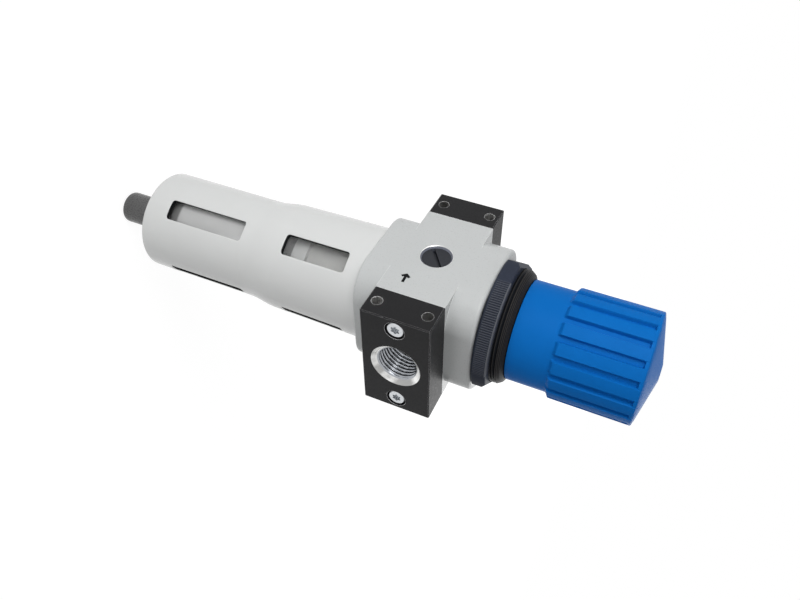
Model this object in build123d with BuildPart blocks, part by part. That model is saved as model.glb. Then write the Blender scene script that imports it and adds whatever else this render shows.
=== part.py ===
from build123d import *
import os

os.makedirs("parts", exist_ok=True)

# Filter-regulator for compressed air, in millimetres. The origin is where the axis through both ports
# crosses the main axis. +Z points to the adjusting knob, +X to the inlet and -Y out of the front face.

# ------------------------------------------------------------------ driving dimensions

SLIP = 0.05  # radial clearance of a running or sliding fit
SEAT = 0.02  # radial clearance of a screwed or pressed seat
GAP = 0.3  # free gap between faces that move apart

# Body block
BODY_W = 55.0  # square section, X and Y
BODY_TOP = 28.4
BODY_BOTTOM = -27.5
CORNER_R = 15.5  # corners above and below the square band
BAND_H = 31.3  # height of the square band that carries the plates
TOP_FILLET = 1.6
BOTTOM_FILLET = 0.8

# Ports: G1/2 through the plates, G1/4 gauge ports in the body
PORT_R = 9.3
PORT_CHAMFER = 2.1
PASSAGE_R = 8.2
PASSAGE_END = 13.6  # inner end of each passage, from the main axis
GAUGE_R = 6.35
GAUGE_CHAMFER = 0.95
GAUGE_DEPTH = 13.0
SEAL_SIDES = 8  # round seals are drawn with this many flats in section
SENSE_R = 1.5  # small duct from a gauge port to the outlet core

# Connecting plates
PLATE_T = 15.0
PLATE_BEVEL = 0.4
SCREW_Y = 21.4  # plate screws, from the port axis
SCREW_R = 2.5  # M5
SCREW_HEAD_R = 3.9
SCREW_HEAD_H = 4.2
SCREW_DEPTH = 10.0  # thread length in the body
COUNTERBORE_R = 4.5
COUNTERBORE_DEPTH = 4.7
WALL_X = 35.0  # wall-fixing holes: 70 x 22.5 pattern
WALL_Z = 11.25
WALL_R = 2.4
WALL_DEPTH = 10.0
GROOVE_R = 12.4  # mean radius of the plate seal groove
GROOVE_W = 1.9
GROOVE_DEPTH = 1.5

# Valve core in the body
CLAMP_Z = 14.5  # shoulder that the diaphragm lies on
CHAMBER_R = 18.5
CHAMBER_FLOOR = 10.0
CORE_R = 8.5  # outlet core above the valve seat
CORE_TOP = 7.5
SEAT_R = 10.0
SEAT_TOP = -1.5
SEAT_BOTTOM = -5.0
SEAT_LIP = 0.6
ORIFICE_R = 6.0
GUIDE_R = 11.0
GUIDE_TOP = -18.0
GUIDE_BOTTOM = -24.0
TOWER_R = 14.2  # outside of the tube that holds valve seat and guide
VALVE_STROKE = 1.2
PIN_R = 2.0
STEM_R = 3.0
STEM_L = 10.0
POPPET_R = 8.2
POPPET_T = 2.0
POPPET_SEAL_T = 1.6
GUIDE_WALL = 1.2
GUIDE_FLOOR = 2.0
GUIDE_TUBE = 2.5  # the stem tube stands this far above the guide
GUIDE_NIPPLE = 9.0
AIR_HOLE_R = 1.7
AIR_HOLES_AT = 8.2

# Bonnet and ring nut
BONNET_BORE_R = 24.3  # thread in the body, simplified
DIAPHRAGM_T = 2.0
COLLAR_R = 26.0  # M52 thread for the ring nut, simplified
COLLAR_TOP = 41.0
NECK_R = 19.6
SPRING_BORE_R = 17.0
BONNET_CEILING = 60.0
BONNET_ROOF = 3.0  # material between spring room and the top of the neck
NECK_TOP = BONNET_CEILING + BONNET_ROOF
KEY_SLOT_R = 18.2
KEY_SLOT_L = 28.0
KEY_W = 5.0
RING_WALL = 4.6
RING_R = COLLAR_R + RING_WALL
RING_BOTTOM = BODY_TOP + GAP
RING_TOP = 35.6
RING_CHAMFER = 0.4
RING_FLAT_DEPTH = 2.8
RING_FLAT_CHAMFER = 1.7  # slope at the top of each wrench flat
RING_ACROSS_FLATS = 2 * (RING_R - RING_FLAT_DEPTH)
RING_FLAT_ANGLE = 49.0

# Adjusting knob and its spindle
SKIRT_R = 22.8
SKIRT_BORE_R = 20.4
GRIP_R = 24.8
GRIP_BOTTOM = 59.3
GRIP_TOP = 96.2
RIB_COUNT = 18
RIB_W = 3.5
KNOB_BOTTOM = COLLAR_TOP + GAP
DOME_EDGE_R = 23.9
DOME_EDGE_Z = 96.8
KNOB_TOP = 101.6
HUB_R = 9.5
HUB_BOTTOM = NECK_TOP + 4.5
KNOB_CAVITY_TOP = 92.0
SPINDLE_R = 5.0
SPINDLE_BOTTOM = 24.0
THRUST_R = 8.0
THRUST_H = 3.0
THRUST_PLAY = 0.1
HEX_FLATS = 8.4
HEX_BOTTOM = NECK_TOP + 1.5
HEX_END = 2.0  # room above the end of the hexagon
HEX_TOP = KNOB_CAVITY_TOP - HEX_END

# Setting spring, its nut and the diaphragm plate
SPRING_R = 12.6
SPRING_WIRE_R = 1.9
SPRING_TURNS = 4.75
SPRING_BOTTOM = 19.0
NUT_R = 16.6
NUT_H = 5.5
NUT_PLAY = 2.4  # between the slack nut and the thrust collar
SPRING_TOP = BONNET_CEILING - THRUST_PLAY - THRUST_H - NUT_PLAY - NUT_H
WIRE_SIDES = 8  # spring wire is drawn with this many flats
PLATE_BOSS_R = 9.9
DISC_R = 14.6
RELIEF_R = 1.0
STUD_R = 3.5
STUD_BOTTOM = 11.8
WASHER_R = 12.0
RIM_GRIP = 0.9  # the clamped rim starts this far inside the chamber wall
FOLD_H = 2.3  # rise of the diaphragm's fold above its clamped face
FOLD_SLOPE = 0.5
FOLD_CREST = 0.8
FOLD_SHOULDER = 0.4

# Filter
DEFLECTOR_BOTTOM = -31.5
VANE_COUNT = 12
FILTER_R = 14.0
FILTER_BORE_R = 9.5
FILTER_BOTTOM = -60.5
BAFFLE_R = 17.0
BAFFLE_BOTTOM = -67.5
ROD_R = 3.0
ROD_HEAD_H = 3.0

# Bowl and its guard
THREAD_R = 24.7  # guard thread in the body, simplified
THREAD_TOP = -19.0
SEAL_BORE_R = 22.6
ANNULUS_TOP = -13.0
FLANGE_R = 24.2
FLANGE_BOTTOM = -21.6
SPIGOT_R = 21.2
SPIGOT_TOP = -13.7
BOWL_R = 22.4  # upper part
BOWL_BORE_R = 20.0
BOWL_LOWER_R = 21.2
BOWL_LOWER_BORE_R = 18.9
BOWL_FLOOR = -138.5
BOWL_BOSS_R = 7.0
BOWL_BOSS_BOTTOM = -146.5
GUARD_TOP_R = 26.5
GUARD_WAIST_R = 25.7
GUARD_R = 24.0
GUARD_BORE_R = 22.9
GUARD_LOWER_BORE_R = 21.7
SHOULDER_TOP = -77.0
SHOULDER_BOTTOM = -87.0
GUARD_BOTTOM = -147.0
GUARD_FLOOR_T = 2.4
GUARD_HOLE_R = 9.0
WINDOW_W = 9.8
WINDOW_ANGLE = 33.0
UPPER_WINDOW = (-69.0, -36.8)
LOWER_WINDOW = (-133.8, -92.0)
WINDOW_R = 1.4

# Drain
DRAIN_R = 4.6
DRAIN_KNOB_R = 7.8
DRAIN_KNOB_TOP = -147.3
DRAIN_KNOB_BOTTOM = -173.0
DRAIN_STEM_BOTTOM = -168.0
DRAIN_BORE_R = 1.6

# ------------------------------------------------------------------ derived values

HALF_W = BODY_W / 2
PLATE_FACE = HALF_W + PLATE_T
BONNET_BOTTOM = CLAMP_Z + DIAPHRAGM_T
SCREW_TOP = PLATE_FACE - COUNTERBORE_DEPTH + SCREW_HEAD_H
POPPET_TOP = SEAT_BOTTOM - SEAT_LIP
SEAL_BOTTOM = POPPET_TOP - POPPET_SEAL_T
STEM_TOP = SEAL_BOTTOM - POPPET_T
SIDES = (("inlet", 1), ("outlet", -1))
FACES = (("front", 1), ("rear", -1))


def section(points):
    """Closed half section of (radius, height) points, for a piece turned about the main axis."""
    with BuildSketch(Plane.XZ) as half:
        with BuildLine():
            Polyline(*points, close=True)
        make_face()
    return half.sketch


def finish(builder, name):
    """Label a finished piece and write it."""
    builder.part.label = name
    export_step(builder.part, f"parts/{name}.step")


# ------------------------------------------------------------------ body

with BuildPart() as body:
    with BuildSketch(Plane.XY.offset(BODY_BOTTOM)):
        RectangleRounded(BODY_W, BODY_W, CORNER_R)
    extrude(amount=BODY_TOP - BODY_BOTTOM)
    fillet(body.edges().group_by(Axis.Z)[-1], TOP_FILLET)
    fillet(body.edges().group_by(Axis.Z)[0], BOTTOM_FILLET)
    with BuildSketch(Plane.XY.offset(-BAND_H / 2)):
        Rectangle(BODY_W, BODY_W)
    extrude(amount=BAND_H)

    # Bonnet thread, clamping shoulder and diaphragm chamber, from above
    above = BODY_TOP + 1
    upper_cavity = section(
        [
            (0, CHAMBER_FLOOR),
            (CHAMBER_R, CHAMBER_FLOOR),
            (CHAMBER_R, CLAMP_Z),
            (BONNET_BORE_R, CLAMP_Z),
            (BONNET_BORE_R, above),
            (0, above),
        ]
    )
    revolve(upper_cavity, axis=Axis.Z, mode=Mode.SUBTRACT)

    # Valve bore and outlet core, from below
    below = BODY_BOTTOM - 1
    valve_cavity = section(
        [
            (0, below),
            (GUIDE_R, below),
            (GUIDE_R, GUIDE_TOP),
            (SEAT_R, GUIDE_TOP),
            (SEAT_R, SEAT_TOP),
            (CORE_R, SEAT_TOP),
            (CORE_R, CORE_TOP),
            (0, CORE_TOP),
        ]
    )
    revolve(valve_cavity, axis=Axis.Z, mode=Mode.SUBTRACT)

    # Guard thread, bowl seal bore and the inlet ring round the valve tube
    bowl_cavity = section(
        [
            (TOWER_R, below),
            (THREAD_R, below),
            (THREAD_R, THREAD_TOP),
            (SEAL_BORE_R, THREAD_TOP),
            (SEAL_BORE_R, ANNULUS_TOP),
            (TOWER_R, ANNULUS_TOP),
        ]
    )
    revolve(bowl_cavity, axis=Axis.Z, mode=Mode.SUBTRACT)

    # Pin guide and pressure-sensing duct between outlet core and diaphragm chamber
    with BuildSketch(Plane.XY.offset(CORE_TOP)):
        Circle(PIN_R + SLIP)
        with Locations((0, CORE_R - 2.3)):
            Circle(1.2)
    extrude(amount=CHAMBER_FLOOR - CORE_TOP, mode=Mode.SUBTRACT)

    for name, side in SIDES:
        with BuildSketch(Plane.YZ.offset(side * PASSAGE_END)):
            Circle(PASSAGE_R)
        extrude(amount=side * (HALF_W - PASSAGE_END), mode=Mode.SUBTRACT)
        with BuildSketch(Plane.YZ.offset(side * HALF_W)):
            with Locations((SCREW_Y, 0), (-SCREW_Y, 0)):
                Circle(SCREW_R + SEAT)
        extrude(amount=-side * (SCREW_DEPTH + 1), mode=Mode.SUBTRACT)

    # Inlet: down into the ring round the valve tube. Outlet: across from the core.
    with BuildSketch(Plane.XY.offset(ANNULUS_TOP - 0.5)):
        with Locations((TOWER_R + 3.0, 0)):
            Rectangle(5.0, 14.0)
    extrude(amount=8.0, mode=Mode.SUBTRACT)
    with BuildSketch(Plane.XY.offset(SEAT_TOP + 0.5)):
        with Locations((-PASSAGE_END + 3.6, 0)):
            Rectangle(10.0, 11.0)
    extrude(amount=8.0, mode=Mode.SUBTRACT)

    # Gauge ports in the front and rear faces
    for name, face in FACES:
        with BuildSketch(Plane.XZ.offset(face * HALF_W)):
            Circle(GAUGE_R)
        extrude(amount=-face * GAUGE_DEPTH, mode=Mode.SUBTRACT)
        with BuildSketch(Plane.XZ.offset(face * (HALF_W - GAUGE_DEPTH))):
            with Locations((0, 3.0)):
                Circle(SENSE_R)
        extrude(amount=-face * (HALF_W - GAUGE_DEPTH - CORE_R + 1), mode=Mode.SUBTRACT)
    mouths = body.edges().filter_by(GeomType.CIRCLE)
    mouths = mouths.filter_by(lambda e: abs(abs(e.center().Y) - HALF_W) < 0.01)
    chamfer(mouths, GAUGE_CHAMFER)
finish(body, "body")

# ------------------------------------------------------------------ connecting plates

for name, side in SIDES:
    with BuildPart() as plate:
        with BuildSketch(Plane.YZ.offset(side * HALF_W)):
            Rectangle(BODY_W, BAND_H)
        extrude(amount=side * PLATE_T)
        outer = plate.edges().filter_by(lambda e: abs(e.center().X) > HALF_W + 0.1)
        chamfer(outer, PLATE_BEVEL)

        # Port with its wide lead-in
        with BuildSketch(Plane.YZ.offset(side * HALF_W)):
            Circle(PORT_R)
        extrude(amount=side * PLATE_T, mode=Mode.SUBTRACT)
        mouth = plate.edges().filter_by(GeomType.CIRCLE)
        mouth = mouth.filter_by(lambda e: abs(abs(e.center().X) - PLATE_FACE) < 0.01)
        chamfer(mouth, PORT_CHAMFER)

        # Seal groove against the body
        with BuildSketch(Plane.YZ.offset(side * HALF_W)):
            Circle(GROOVE_R + GROOVE_W / 2)
            Circle(GROOVE_R - GROOVE_W / 2, mode=Mode.SUBTRACT)
        extrude(amount=side * GROOVE_DEPTH, mode=Mode.SUBTRACT)

        # Screws to the body, heads sunk below the face
        with BuildSketch(Plane.YZ.offset(side * HALF_W)):
            with Locations((SCREW_Y, 0), (-SCREW_Y, 0)):
                Circle(SCREW_R + GAP)
        extrude(amount=side * PLATE_T, mode=Mode.SUBTRACT)
        with BuildSketch(Plane.YZ.offset(side * PLATE_FACE)):
            with Locations((SCREW_Y, 0), (-SCREW_Y, 0)):
                Circle(COUNTERBORE_R)
        extrude(amount=-side * COUNTERBORE_DEPTH, mode=Mode.SUBTRACT)

        # Wall-fixing holes, tapped from the front and from the rear, short of the port
        for _, face in FACES:
            with BuildSketch(Plane.XZ.offset(face * HALF_W)):
                with Locations((side * WALL_X, WALL_Z), (side * WALL_X, -WALL_Z)):
                    Circle(WALL_R)
            extrude(amount=-face * WALL_DEPTH, mode=Mode.SUBTRACT)
    finish(plate, f"{name}_plate")

    with BuildPart() as screws:
        with BuildSketch(Plane.YZ.offset(side * SCREW_TOP)):
            with Locations((SCREW_Y, 0), (-SCREW_Y, 0)):
                Circle(SCREW_HEAD_R)
        extrude(amount=-side * SCREW_HEAD_H)
        with BuildSketch(Plane.YZ.offset(side * (SCREW_TOP - SCREW_HEAD_H))):
            with Locations((SCREW_Y, 0), (-SCREW_Y, 0)):
                Circle(SCREW_R)
        extrude(amount=-side * (SCREW_TOP - SCREW_HEAD_H - HALF_W + SCREW_DEPTH))
        # Six-lobe recess
        with BuildSketch(Plane.YZ.offset(side * SCREW_TOP)):
            with Locations((SCREW_Y, 0), (-SCREW_Y, 0)):
                Circle(1.55)
                with PolarLocations(1.6, 6):
                    Circle(0.5)
        extrude(amount=-side * 2.2, mode=Mode.SUBTRACT)
        chamfer(
            screws.edges()
            .filter_by(GeomType.CIRCLE)
            .filter_by(lambda e: abs(e.radius - SCREW_HEAD_R) < 0.01)
            .filter_by(lambda e: abs(abs(e.center().X) - SCREW_TOP) < 0.01),
            0.4,
        )
    finish(screws, f"{name}_plate_screws")

    # Flat seal in the groove, round in section
    with BuildPart() as seal:
        with BuildSketch(Plane.XY):
            with Locations((side * (HALF_W + GROOVE_DEPTH / 2), GROOVE_R)):
                RegularPolygon(GROOVE_DEPTH / 2 - SEAT, SEAL_SIDES, rotation=180 / SEAL_SIDES)
        revolve(axis=Axis.X)
    finish(seal, f"{name}_plate_seal")

# ------------------------------------------------------------------ gauge port plugs

for name, face in FACES:
    with BuildPart() as plug:
        with BuildSketch(Plane.XZ.offset(face * (HALF_W - GAUGE_CHAMFER))):
            Circle(GAUGE_R - SEAT)
        extrude(amount=-face * 8.0)
        # Screwdriver slot
        with BuildSketch(Plane.XZ.offset(face * (HALF_W - GAUGE_CHAMFER))):
            Rectangle(2 * GAUGE_R, 1.4, rotation=36)
        extrude(amount=-face * 1.6, mode=Mode.SUBTRACT)
    finish(plug, f"{name}_gauge_plug")

# ------------------------------------------------------------------ bonnet and ring nut

with BuildPart() as bonnet:
    bonnet_section = section(
        [
            (CHAMBER_R - 0.1, BONNET_BOTTOM),
            (BONNET_BORE_R - SEAT, BONNET_BOTTOM),
            (BONNET_BORE_R - SEAT, BODY_TOP),
            (COLLAR_R, BODY_TOP),
            (COLLAR_R, COLLAR_TOP - 2.8),
            (COLLAR_R - 1.1, COLLAR_TOP - 1.1),
            (SKIRT_R - 0.1, COLLAR_TOP),
            (NECK_R, COLLAR_TOP),
            (NECK_R, NECK_TOP),
            (SPINDLE_R + SLIP, NECK_TOP),
            (SPINDLE_R + SLIP, BONNET_CEILING),
            (SPRING_BORE_R, BONNET_CEILING),
            (SPRING_BORE_R, BONNET_BOTTOM + 6),
            (CHAMBER_R - 0.1, BONNET_BOTTOM + 6),
        ]
    )
    revolve(bonnet_section, axis=Axis.Z)
    # Two key slots that keep the spring nut from turning
    with BuildSketch(Plane.XY.offset(BONNET_CEILING - 2)):
        Rectangle(2 * KEY_SLOT_R, KEY_W + 4 * SLIP)
    extrude(amount=-KEY_SLOT_L, mode=Mode.SUBTRACT)
finish(bonnet, "bonnet")

with BuildPart() as ring_nut:
    ring_section = section(
        [
            (COLLAR_R + SLIP, RING_BOTTOM),
            (RING_R - 0.9, RING_BOTTOM),
            (RING_R, RING_BOTTOM + 0.9),
            (RING_R, RING_TOP - RING_CHAMFER),
            (RING_R - RING_CHAMFER, RING_TOP),
            (COLLAR_R + SLIP, RING_TOP),
        ]
    )
    revolve(ring_section, axis=Axis.Z)
    # Two opposite wrench flats, sloped at the top
    flat_half = RING_ACROSS_FLATS / 2
    with BuildSketch(Plane.XZ.rotated((0, 0, RING_FLAT_ANGLE))):
        with BuildLine():
            Polyline(
                (-flat_half, RING_BOTTOM),
                (flat_half, RING_BOTTOM),
                (flat_half, RING_TOP - RING_FLAT_CHAMFER),
                (flat_half - RING_FLAT_CHAMFER, RING_TOP),
                (RING_FLAT_CHAMFER - flat_half, RING_TOP),
                (-flat_half, RING_TOP - RING_FLAT_CHAMFER),
                close=True,
            )
        make_face()
    extrude(amount=2 * RING_R, both=True, mode=Mode.INTERSECT)
finish(ring_nut, "ring_nut")

# ------------------------------------------------------------------ adjusting knob and spindle

with BuildPart() as adjusting_knob:
    with BuildSketch(Plane.XY.offset(KNOB_BOTTOM)):
        Circle(SKIRT_R)
        with PolarLocations(SKIRT_R, RIB_COUNT):
            Trapezoid(RIB_W + 1.4, 2 * (GRIP_R - SKIRT_R) + 1, 80, rotation=-90)
    extrude(amount=KNOB_TOP - KNOB_BOTTOM)
    # Outer form: skirt, bevelled rib ends and the shallow domed end
    with BuildSketch(Plane.XZ) as outer_form:
        with BuildLine():
            Polyline(
                (0, KNOB_BOTTOM),
                (SKIRT_R - 0.4, KNOB_BOTTOM),
                (SKIRT_R, KNOB_BOTTOM + 0.4),
                (SKIRT_R, GRIP_BOTTOM),
                (GRIP_R, GRIP_BOTTOM + 1.6),
                (GRIP_R, GRIP_TOP),
                (DOME_EDGE_R, DOME_EDGE_Z),
            )
            ThreePointArc((DOME_EDGE_R, DOME_EDGE_Z), (DOME_EDGE_R / 2, KNOB_TOP - 1.5), (0, KNOB_TOP))
            Line((0, KNOB_TOP), (0, KNOB_BOTTOM))
        make_face()
    revolve(axis=Axis.Z, mode=Mode.INTERSECT)
    # Hollow skirt that slides over the bonnet, round a hub for the spindle
    hollow = section(
        [
            (0, KNOB_BOTTOM - 1),
            (SKIRT_BORE_R, KNOB_BOTTOM - 1),
            (SKIRT_BORE_R, KNOB_CAVITY_TOP),
            (HUB_R, KNOB_CAVITY_TOP),
            (HUB_R, HUB_BOTTOM),
            (0, HUB_BOTTOM),
        ]
    )
    revolve(hollow, axis=Axis.Z, mode=Mode.SUBTRACT)
    with BuildSketch(Plane.XY.offset(HUB_BOTTOM)):
        RegularPolygon(HEX_FLATS / 2 + SLIP, 6, major_radius=False)
    extrude(amount=KNOB_CAVITY_TOP - HUB_BOTTOM, mode=Mode.SUBTRACT)
finish(adjusting_knob, "adjusting_knob")

with BuildPart() as adjusting_screw:
    with BuildSketch(Plane.XY.offset(SPINDLE_BOTTOM)):
        Circle(SPINDLE_R)
    extrude(amount=HEX_BOTTOM - SPINDLE_BOTTOM)
    # Thrust collar under the bonnet's ceiling
    with BuildSketch(Plane.XY.offset(BONNET_CEILING - THRUST_PLAY)):
        Circle(THRUST_R)
    extrude(amount=-THRUST_H)
    with BuildSketch(Plane.XY.offset(HEX_BOTTOM)):
        RegularPolygon(HEX_FLATS / 2, 6, major_radius=False)
    extrude(amount=HEX_TOP - HEX_BOTTOM)
finish(adjusting_screw, "adjusting_screw")

with BuildPart() as spring_nut:
    with BuildSketch(Plane.XY.offset(SPRING_TOP)):
        Circle(NUT_R)
        Rectangle(2 * KEY_SLOT_R - 0.4, KEY_W)
    extrude(amount=NUT_H)
    with BuildSketch(Plane.XY.offset(SPRING_TOP)):
        Circle(PLATE_BOSS_R)
    extrude(amount=-NUT_H)
    with BuildSketch(Plane.XY.offset(SPRING_TOP - NUT_H)):
        Circle(SPINDLE_R + SLIP)
    extrude(amount=2 * NUT_H, mode=Mode.SUBTRACT)
finish(spring_nut, "spring_nut")


def spring_path(radius, wire_r, turns, bottom, top):
    """Centre line of a coil whose ends are cut flat at bottom and top."""
    height = top - bottom - wire_r
    with BuildLine() as coil:
        Helix(pitch=height / turns, height=height, radius=radius, center=(0, 0, bottom + wire_r / 2))
    return coil.line


springs = (
    ("main_spring", SPRING_R, SPRING_WIRE_R, SPRING_TURNS, SPRING_BOTTOM, SPRING_TOP),
    ("valve_spring", 5.2, 0.45, 5.0, GUIDE_TOP, STEM_TOP),
)
for name, radius, wire_r, turns, bottom, top in springs:
    with BuildPart() as spring:
        path = spring_path(radius, wire_r, turns, bottom, top)
        with BuildSketch(Plane(origin=path @ 0, z_dir=path % 0)):
            RegularPolygon(wire_r, WIRE_SIDES)
        sweep(path=path, is_frenet=True)
        # Ground ends
        with BuildSketch(Plane.XY.offset(bottom)):
            Circle(radius + 2 * wire_r)
        extrude(amount=top - bottom, mode=Mode.INTERSECT)
    finish(spring, name)

# ------------------------------------------------------------------ diaphragm and its plates

fold_out = CHAMBER_R - RIM_GRIP
fold_in = fold_out - FOLD_SLOPE - FOLD_CREST
with BuildPart() as diaphragm:
    with BuildSketch(Plane.XZ):
        with BuildLine():
            Polyline(
                (CHAMBER_R - 0.2, BONNET_BOTTOM),
                (BONNET_BORE_R - 0.1, BONNET_BOTTOM),
                (BONNET_BORE_R - 0.1, CLAMP_Z),
                (fold_out, CLAMP_Z),
            )
            # Fold between the clamped rim and the plate
            Polyline(
                (fold_out, CLAMP_Z),
                (fold_out - FOLD_SLOPE, CLAMP_Z + FOLD_H),
                (fold_in, CLAMP_Z + FOLD_H),
                (fold_in - FOLD_SHOULDER, CLAMP_Z),
                (STUD_R + SEAT, CLAMP_Z),
                (STUD_R + SEAT, BONNET_BOTTOM),
                (DISC_R + 0.5, BONNET_BOTTOM),
            )
            Polyline(
                (DISC_R + 0.5, BONNET_BOTTOM),
                (fold_in - 0.7, BONNET_BOTTOM + 1.6),
                (fold_in, BONNET_BOTTOM + 2.0),
                (fold_out - FOLD_SLOPE, BONNET_BOTTOM + 2.0),
                (fold_out + 0.2, BONNET_BOTTOM + 1.6),
                (CHAMBER_R - 0.2, BONNET_BOTTOM),
            )
        make_face()
    revolve(axis=Axis.Z)
finish(diaphragm, "diaphragm")

with BuildPart() as diaphragm_plate:
    disc_section = section(
        [
            (RELIEF_R, STUD_BOTTOM),
            (STUD_R, STUD_BOTTOM),
            (STUD_R, BONNET_BOTTOM),
            (DISC_R, BONNET_BOTTOM),
            (DISC_R, SPRING_BOTTOM),
            (PLATE_BOSS_R, SPRING_BOTTOM),
            (PLATE_BOSS_R - 0.8, SPRING_BOTTOM + 3),
            (RELIEF_R, SPRING_BOTTOM + 3),
        ]
    )
    revolve(disc_section, axis=Axis.Z)
finish(diaphragm_plate, "diaphragm_plate")

with BuildPart() as diaphragm_washer:
    with BuildSketch(Plane.XY.offset(CLAMP_Z)):
        Circle(WASHER_R)
        Circle(STUD_R + SEAT, mode=Mode.SUBTRACT)
    extrude(amount=-DIAPHRAGM_T)
finish(diaphragm_washer, "diaphragm_washer")

# ------------------------------------------------------------------ valve

with BuildPart() as valve_pin:
    with BuildSketch(Plane.XY.offset(SEAL_BOTTOM)):
        Circle(PIN_R)
    extrude(amount=STUD_BOTTOM - SEAL_BOTTOM)
finish(valve_pin, "valve_pin")

with BuildPart() as valve_seat:
    seat_section = section(
        [
            (ORIFICE_R, SEAT_TOP),
            (SEAT_R - SEAT, SEAT_TOP),
            (SEAT_R - SEAT, SEAT_BOTTOM),
            (ORIFICE_R + 1.4, SEAT_BOTTOM),
            (ORIFICE_R + 1.0, SEAT_BOTTOM - SEAT_LIP),
            (ORIFICE_R, SEAT_BOTTOM - SEAT_LIP),
        ]
    )
    revolve(seat_section, axis=Axis.Z)
finish(valve_seat, "valve_seat")

with BuildPart() as poppet_seal:
    with BuildSketch(Plane.XY.offset(POPPET_TOP)):
        Circle(POPPET_R)
        Circle(PIN_R + SEAT, mode=Mode.SUBTRACT)
    extrude(amount=-POPPET_SEAL_T)
finish(poppet_seal, "poppet_seal")

with BuildPart() as valve_poppet:
    with BuildSketch(Plane.XY.offset(SEAL_BOTTOM)):
        Circle(POPPET_R)
    extrude(amount=-POPPET_T)
    with BuildSketch(Plane.XY.offset(STEM_TOP)):
        Circle(STEM_R)
    extrude(amount=-STEM_L)
finish(valve_poppet, "valve_poppet")

with BuildPart() as valve_guide:
    guide_section = section(
        [
            (0, GUIDE_BOTTOM + GUIDE_FLOOR),
            (STEM_R + SLIP, GUIDE_BOTTOM + GUIDE_FLOOR),
            (STEM_R + SLIP, GUIDE_TOP + GUIDE_TUBE),
            (STEM_R + GUIDE_WALL, GUIDE_TOP + GUIDE_TUBE),
            (STEM_R + GUIDE_WALL, GUIDE_TOP),
            (GUIDE_R - SEAT, GUIDE_TOP),
            (GUIDE_R - SEAT, GUIDE_BOTTOM),
            (2 * ROD_R, GUIDE_BOTTOM),
            (2 * ROD_R, GUIDE_BOTTOM - GUIDE_NIPPLE),
            (ROD_R + SEAT, GUIDE_BOTTOM - GUIDE_NIPPLE),
            (ROD_R + SEAT, GUIDE_BOTTOM - 3),
            (0, GUIDE_BOTTOM - 3),
        ]
    )
    revolve(guide_section, axis=Axis.Z)
    with BuildSketch(Plane.XY.offset(GUIDE_BOTTOM)):
        with PolarLocations(AIR_HOLES_AT, 6):
            Circle(AIR_HOLE_R)
    extrude(amount=GUIDE_TOP - GUIDE_BOTTOM, mode=Mode.SUBTRACT)
finish(valve_guide, "valve_guide")

# ------------------------------------------------------------------ filter

with BuildPart() as vane:
    with BuildSketch(Plane.YZ.offset(TOWER_R)):
        with BuildLine():
            Polyline(
                (-2.0, DEFLECTOR_BOTTOM),
                (-0.8, DEFLECTOR_BOTTOM),
                (2.0, BODY_BOTTOM),
                (0.8, BODY_BOTTOM),
                close=True,
            )
        make_face()
    extrude(amount=BOWL_BORE_R - 0.8 - TOWER_R)

with BuildPart() as deflector:
    with BuildSketch(Plane.XY.offset(DEFLECTOR_BOTTOM)):
        Circle(TOWER_R + 0.6)
        Circle(GUIDE_R + 0.2, mode=Mode.SUBTRACT)
    extrude(amount=BODY_BOTTOM - DEFLECTOR_BOTTOM)
    with PolarLocations(0, VANE_COUNT):
        add(vane.part)
finish(deflector, "deflector")

with BuildPart() as filter_element:
    with BuildSketch(Plane.XY.offset(FILTER_BOTTOM)):
        Circle(FILTER_R)
        Circle(FILTER_BORE_R, mode=Mode.SUBTRACT)
    extrude(amount=DEFLECTOR_BOTTOM - FILTER_BOTTOM)
finish(filter_element, "filter_element")

with BuildPart() as baffle_disc:
    baffle_section = section(
        [
            (ROD_R + SEAT, BAFFLE_BOTTOM),
            (2 * ROD_R, BAFFLE_BOTTOM),
            (2 * ROD_R, FILTER_BOTTOM - 3),
            (BAFFLE_R - 2, FILTER_BOTTOM - 3),
            (BAFFLE_R - 2, BAFFLE_BOTTOM),
            (BAFFLE_R, BAFFLE_BOTTOM),
            (BAFFLE_R, FILTER_BOTTOM),
            (FILTER_BORE_R - 0.1, FILTER_BOTTOM),
            (FILTER_BORE_R - 0.1, FILTER_BOTTOM + 3),
            (FILTER_BORE_R - 2, FILTER_BOTTOM + 3),
            (FILTER_BORE_R - 2, FILTER_BOTTOM),
            (ROD_R + SEAT, FILTER_BOTTOM),
        ]
    )
    revolve(baffle_section, axis=Axis.Z)
finish(baffle_disc, "baffle_disc")

with BuildPart() as filter_rod:
    with BuildSketch(Plane.XY.offset(BAFFLE_BOTTOM)):
        Circle(ROD_R)
    extrude(amount=GUIDE_BOTTOM - 3 - BAFFLE_BOTTOM - 0.2)
    with BuildSketch(Plane.XY.offset(BAFFLE_BOTTOM)):
        RegularPolygon(ROD_R + 2, 6, major_radius=False)
    extrude(amount=-ROD_HEAD_H)
finish(filter_rod, "filter_rod")

# ------------------------------------------------------------------ bowl

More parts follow.
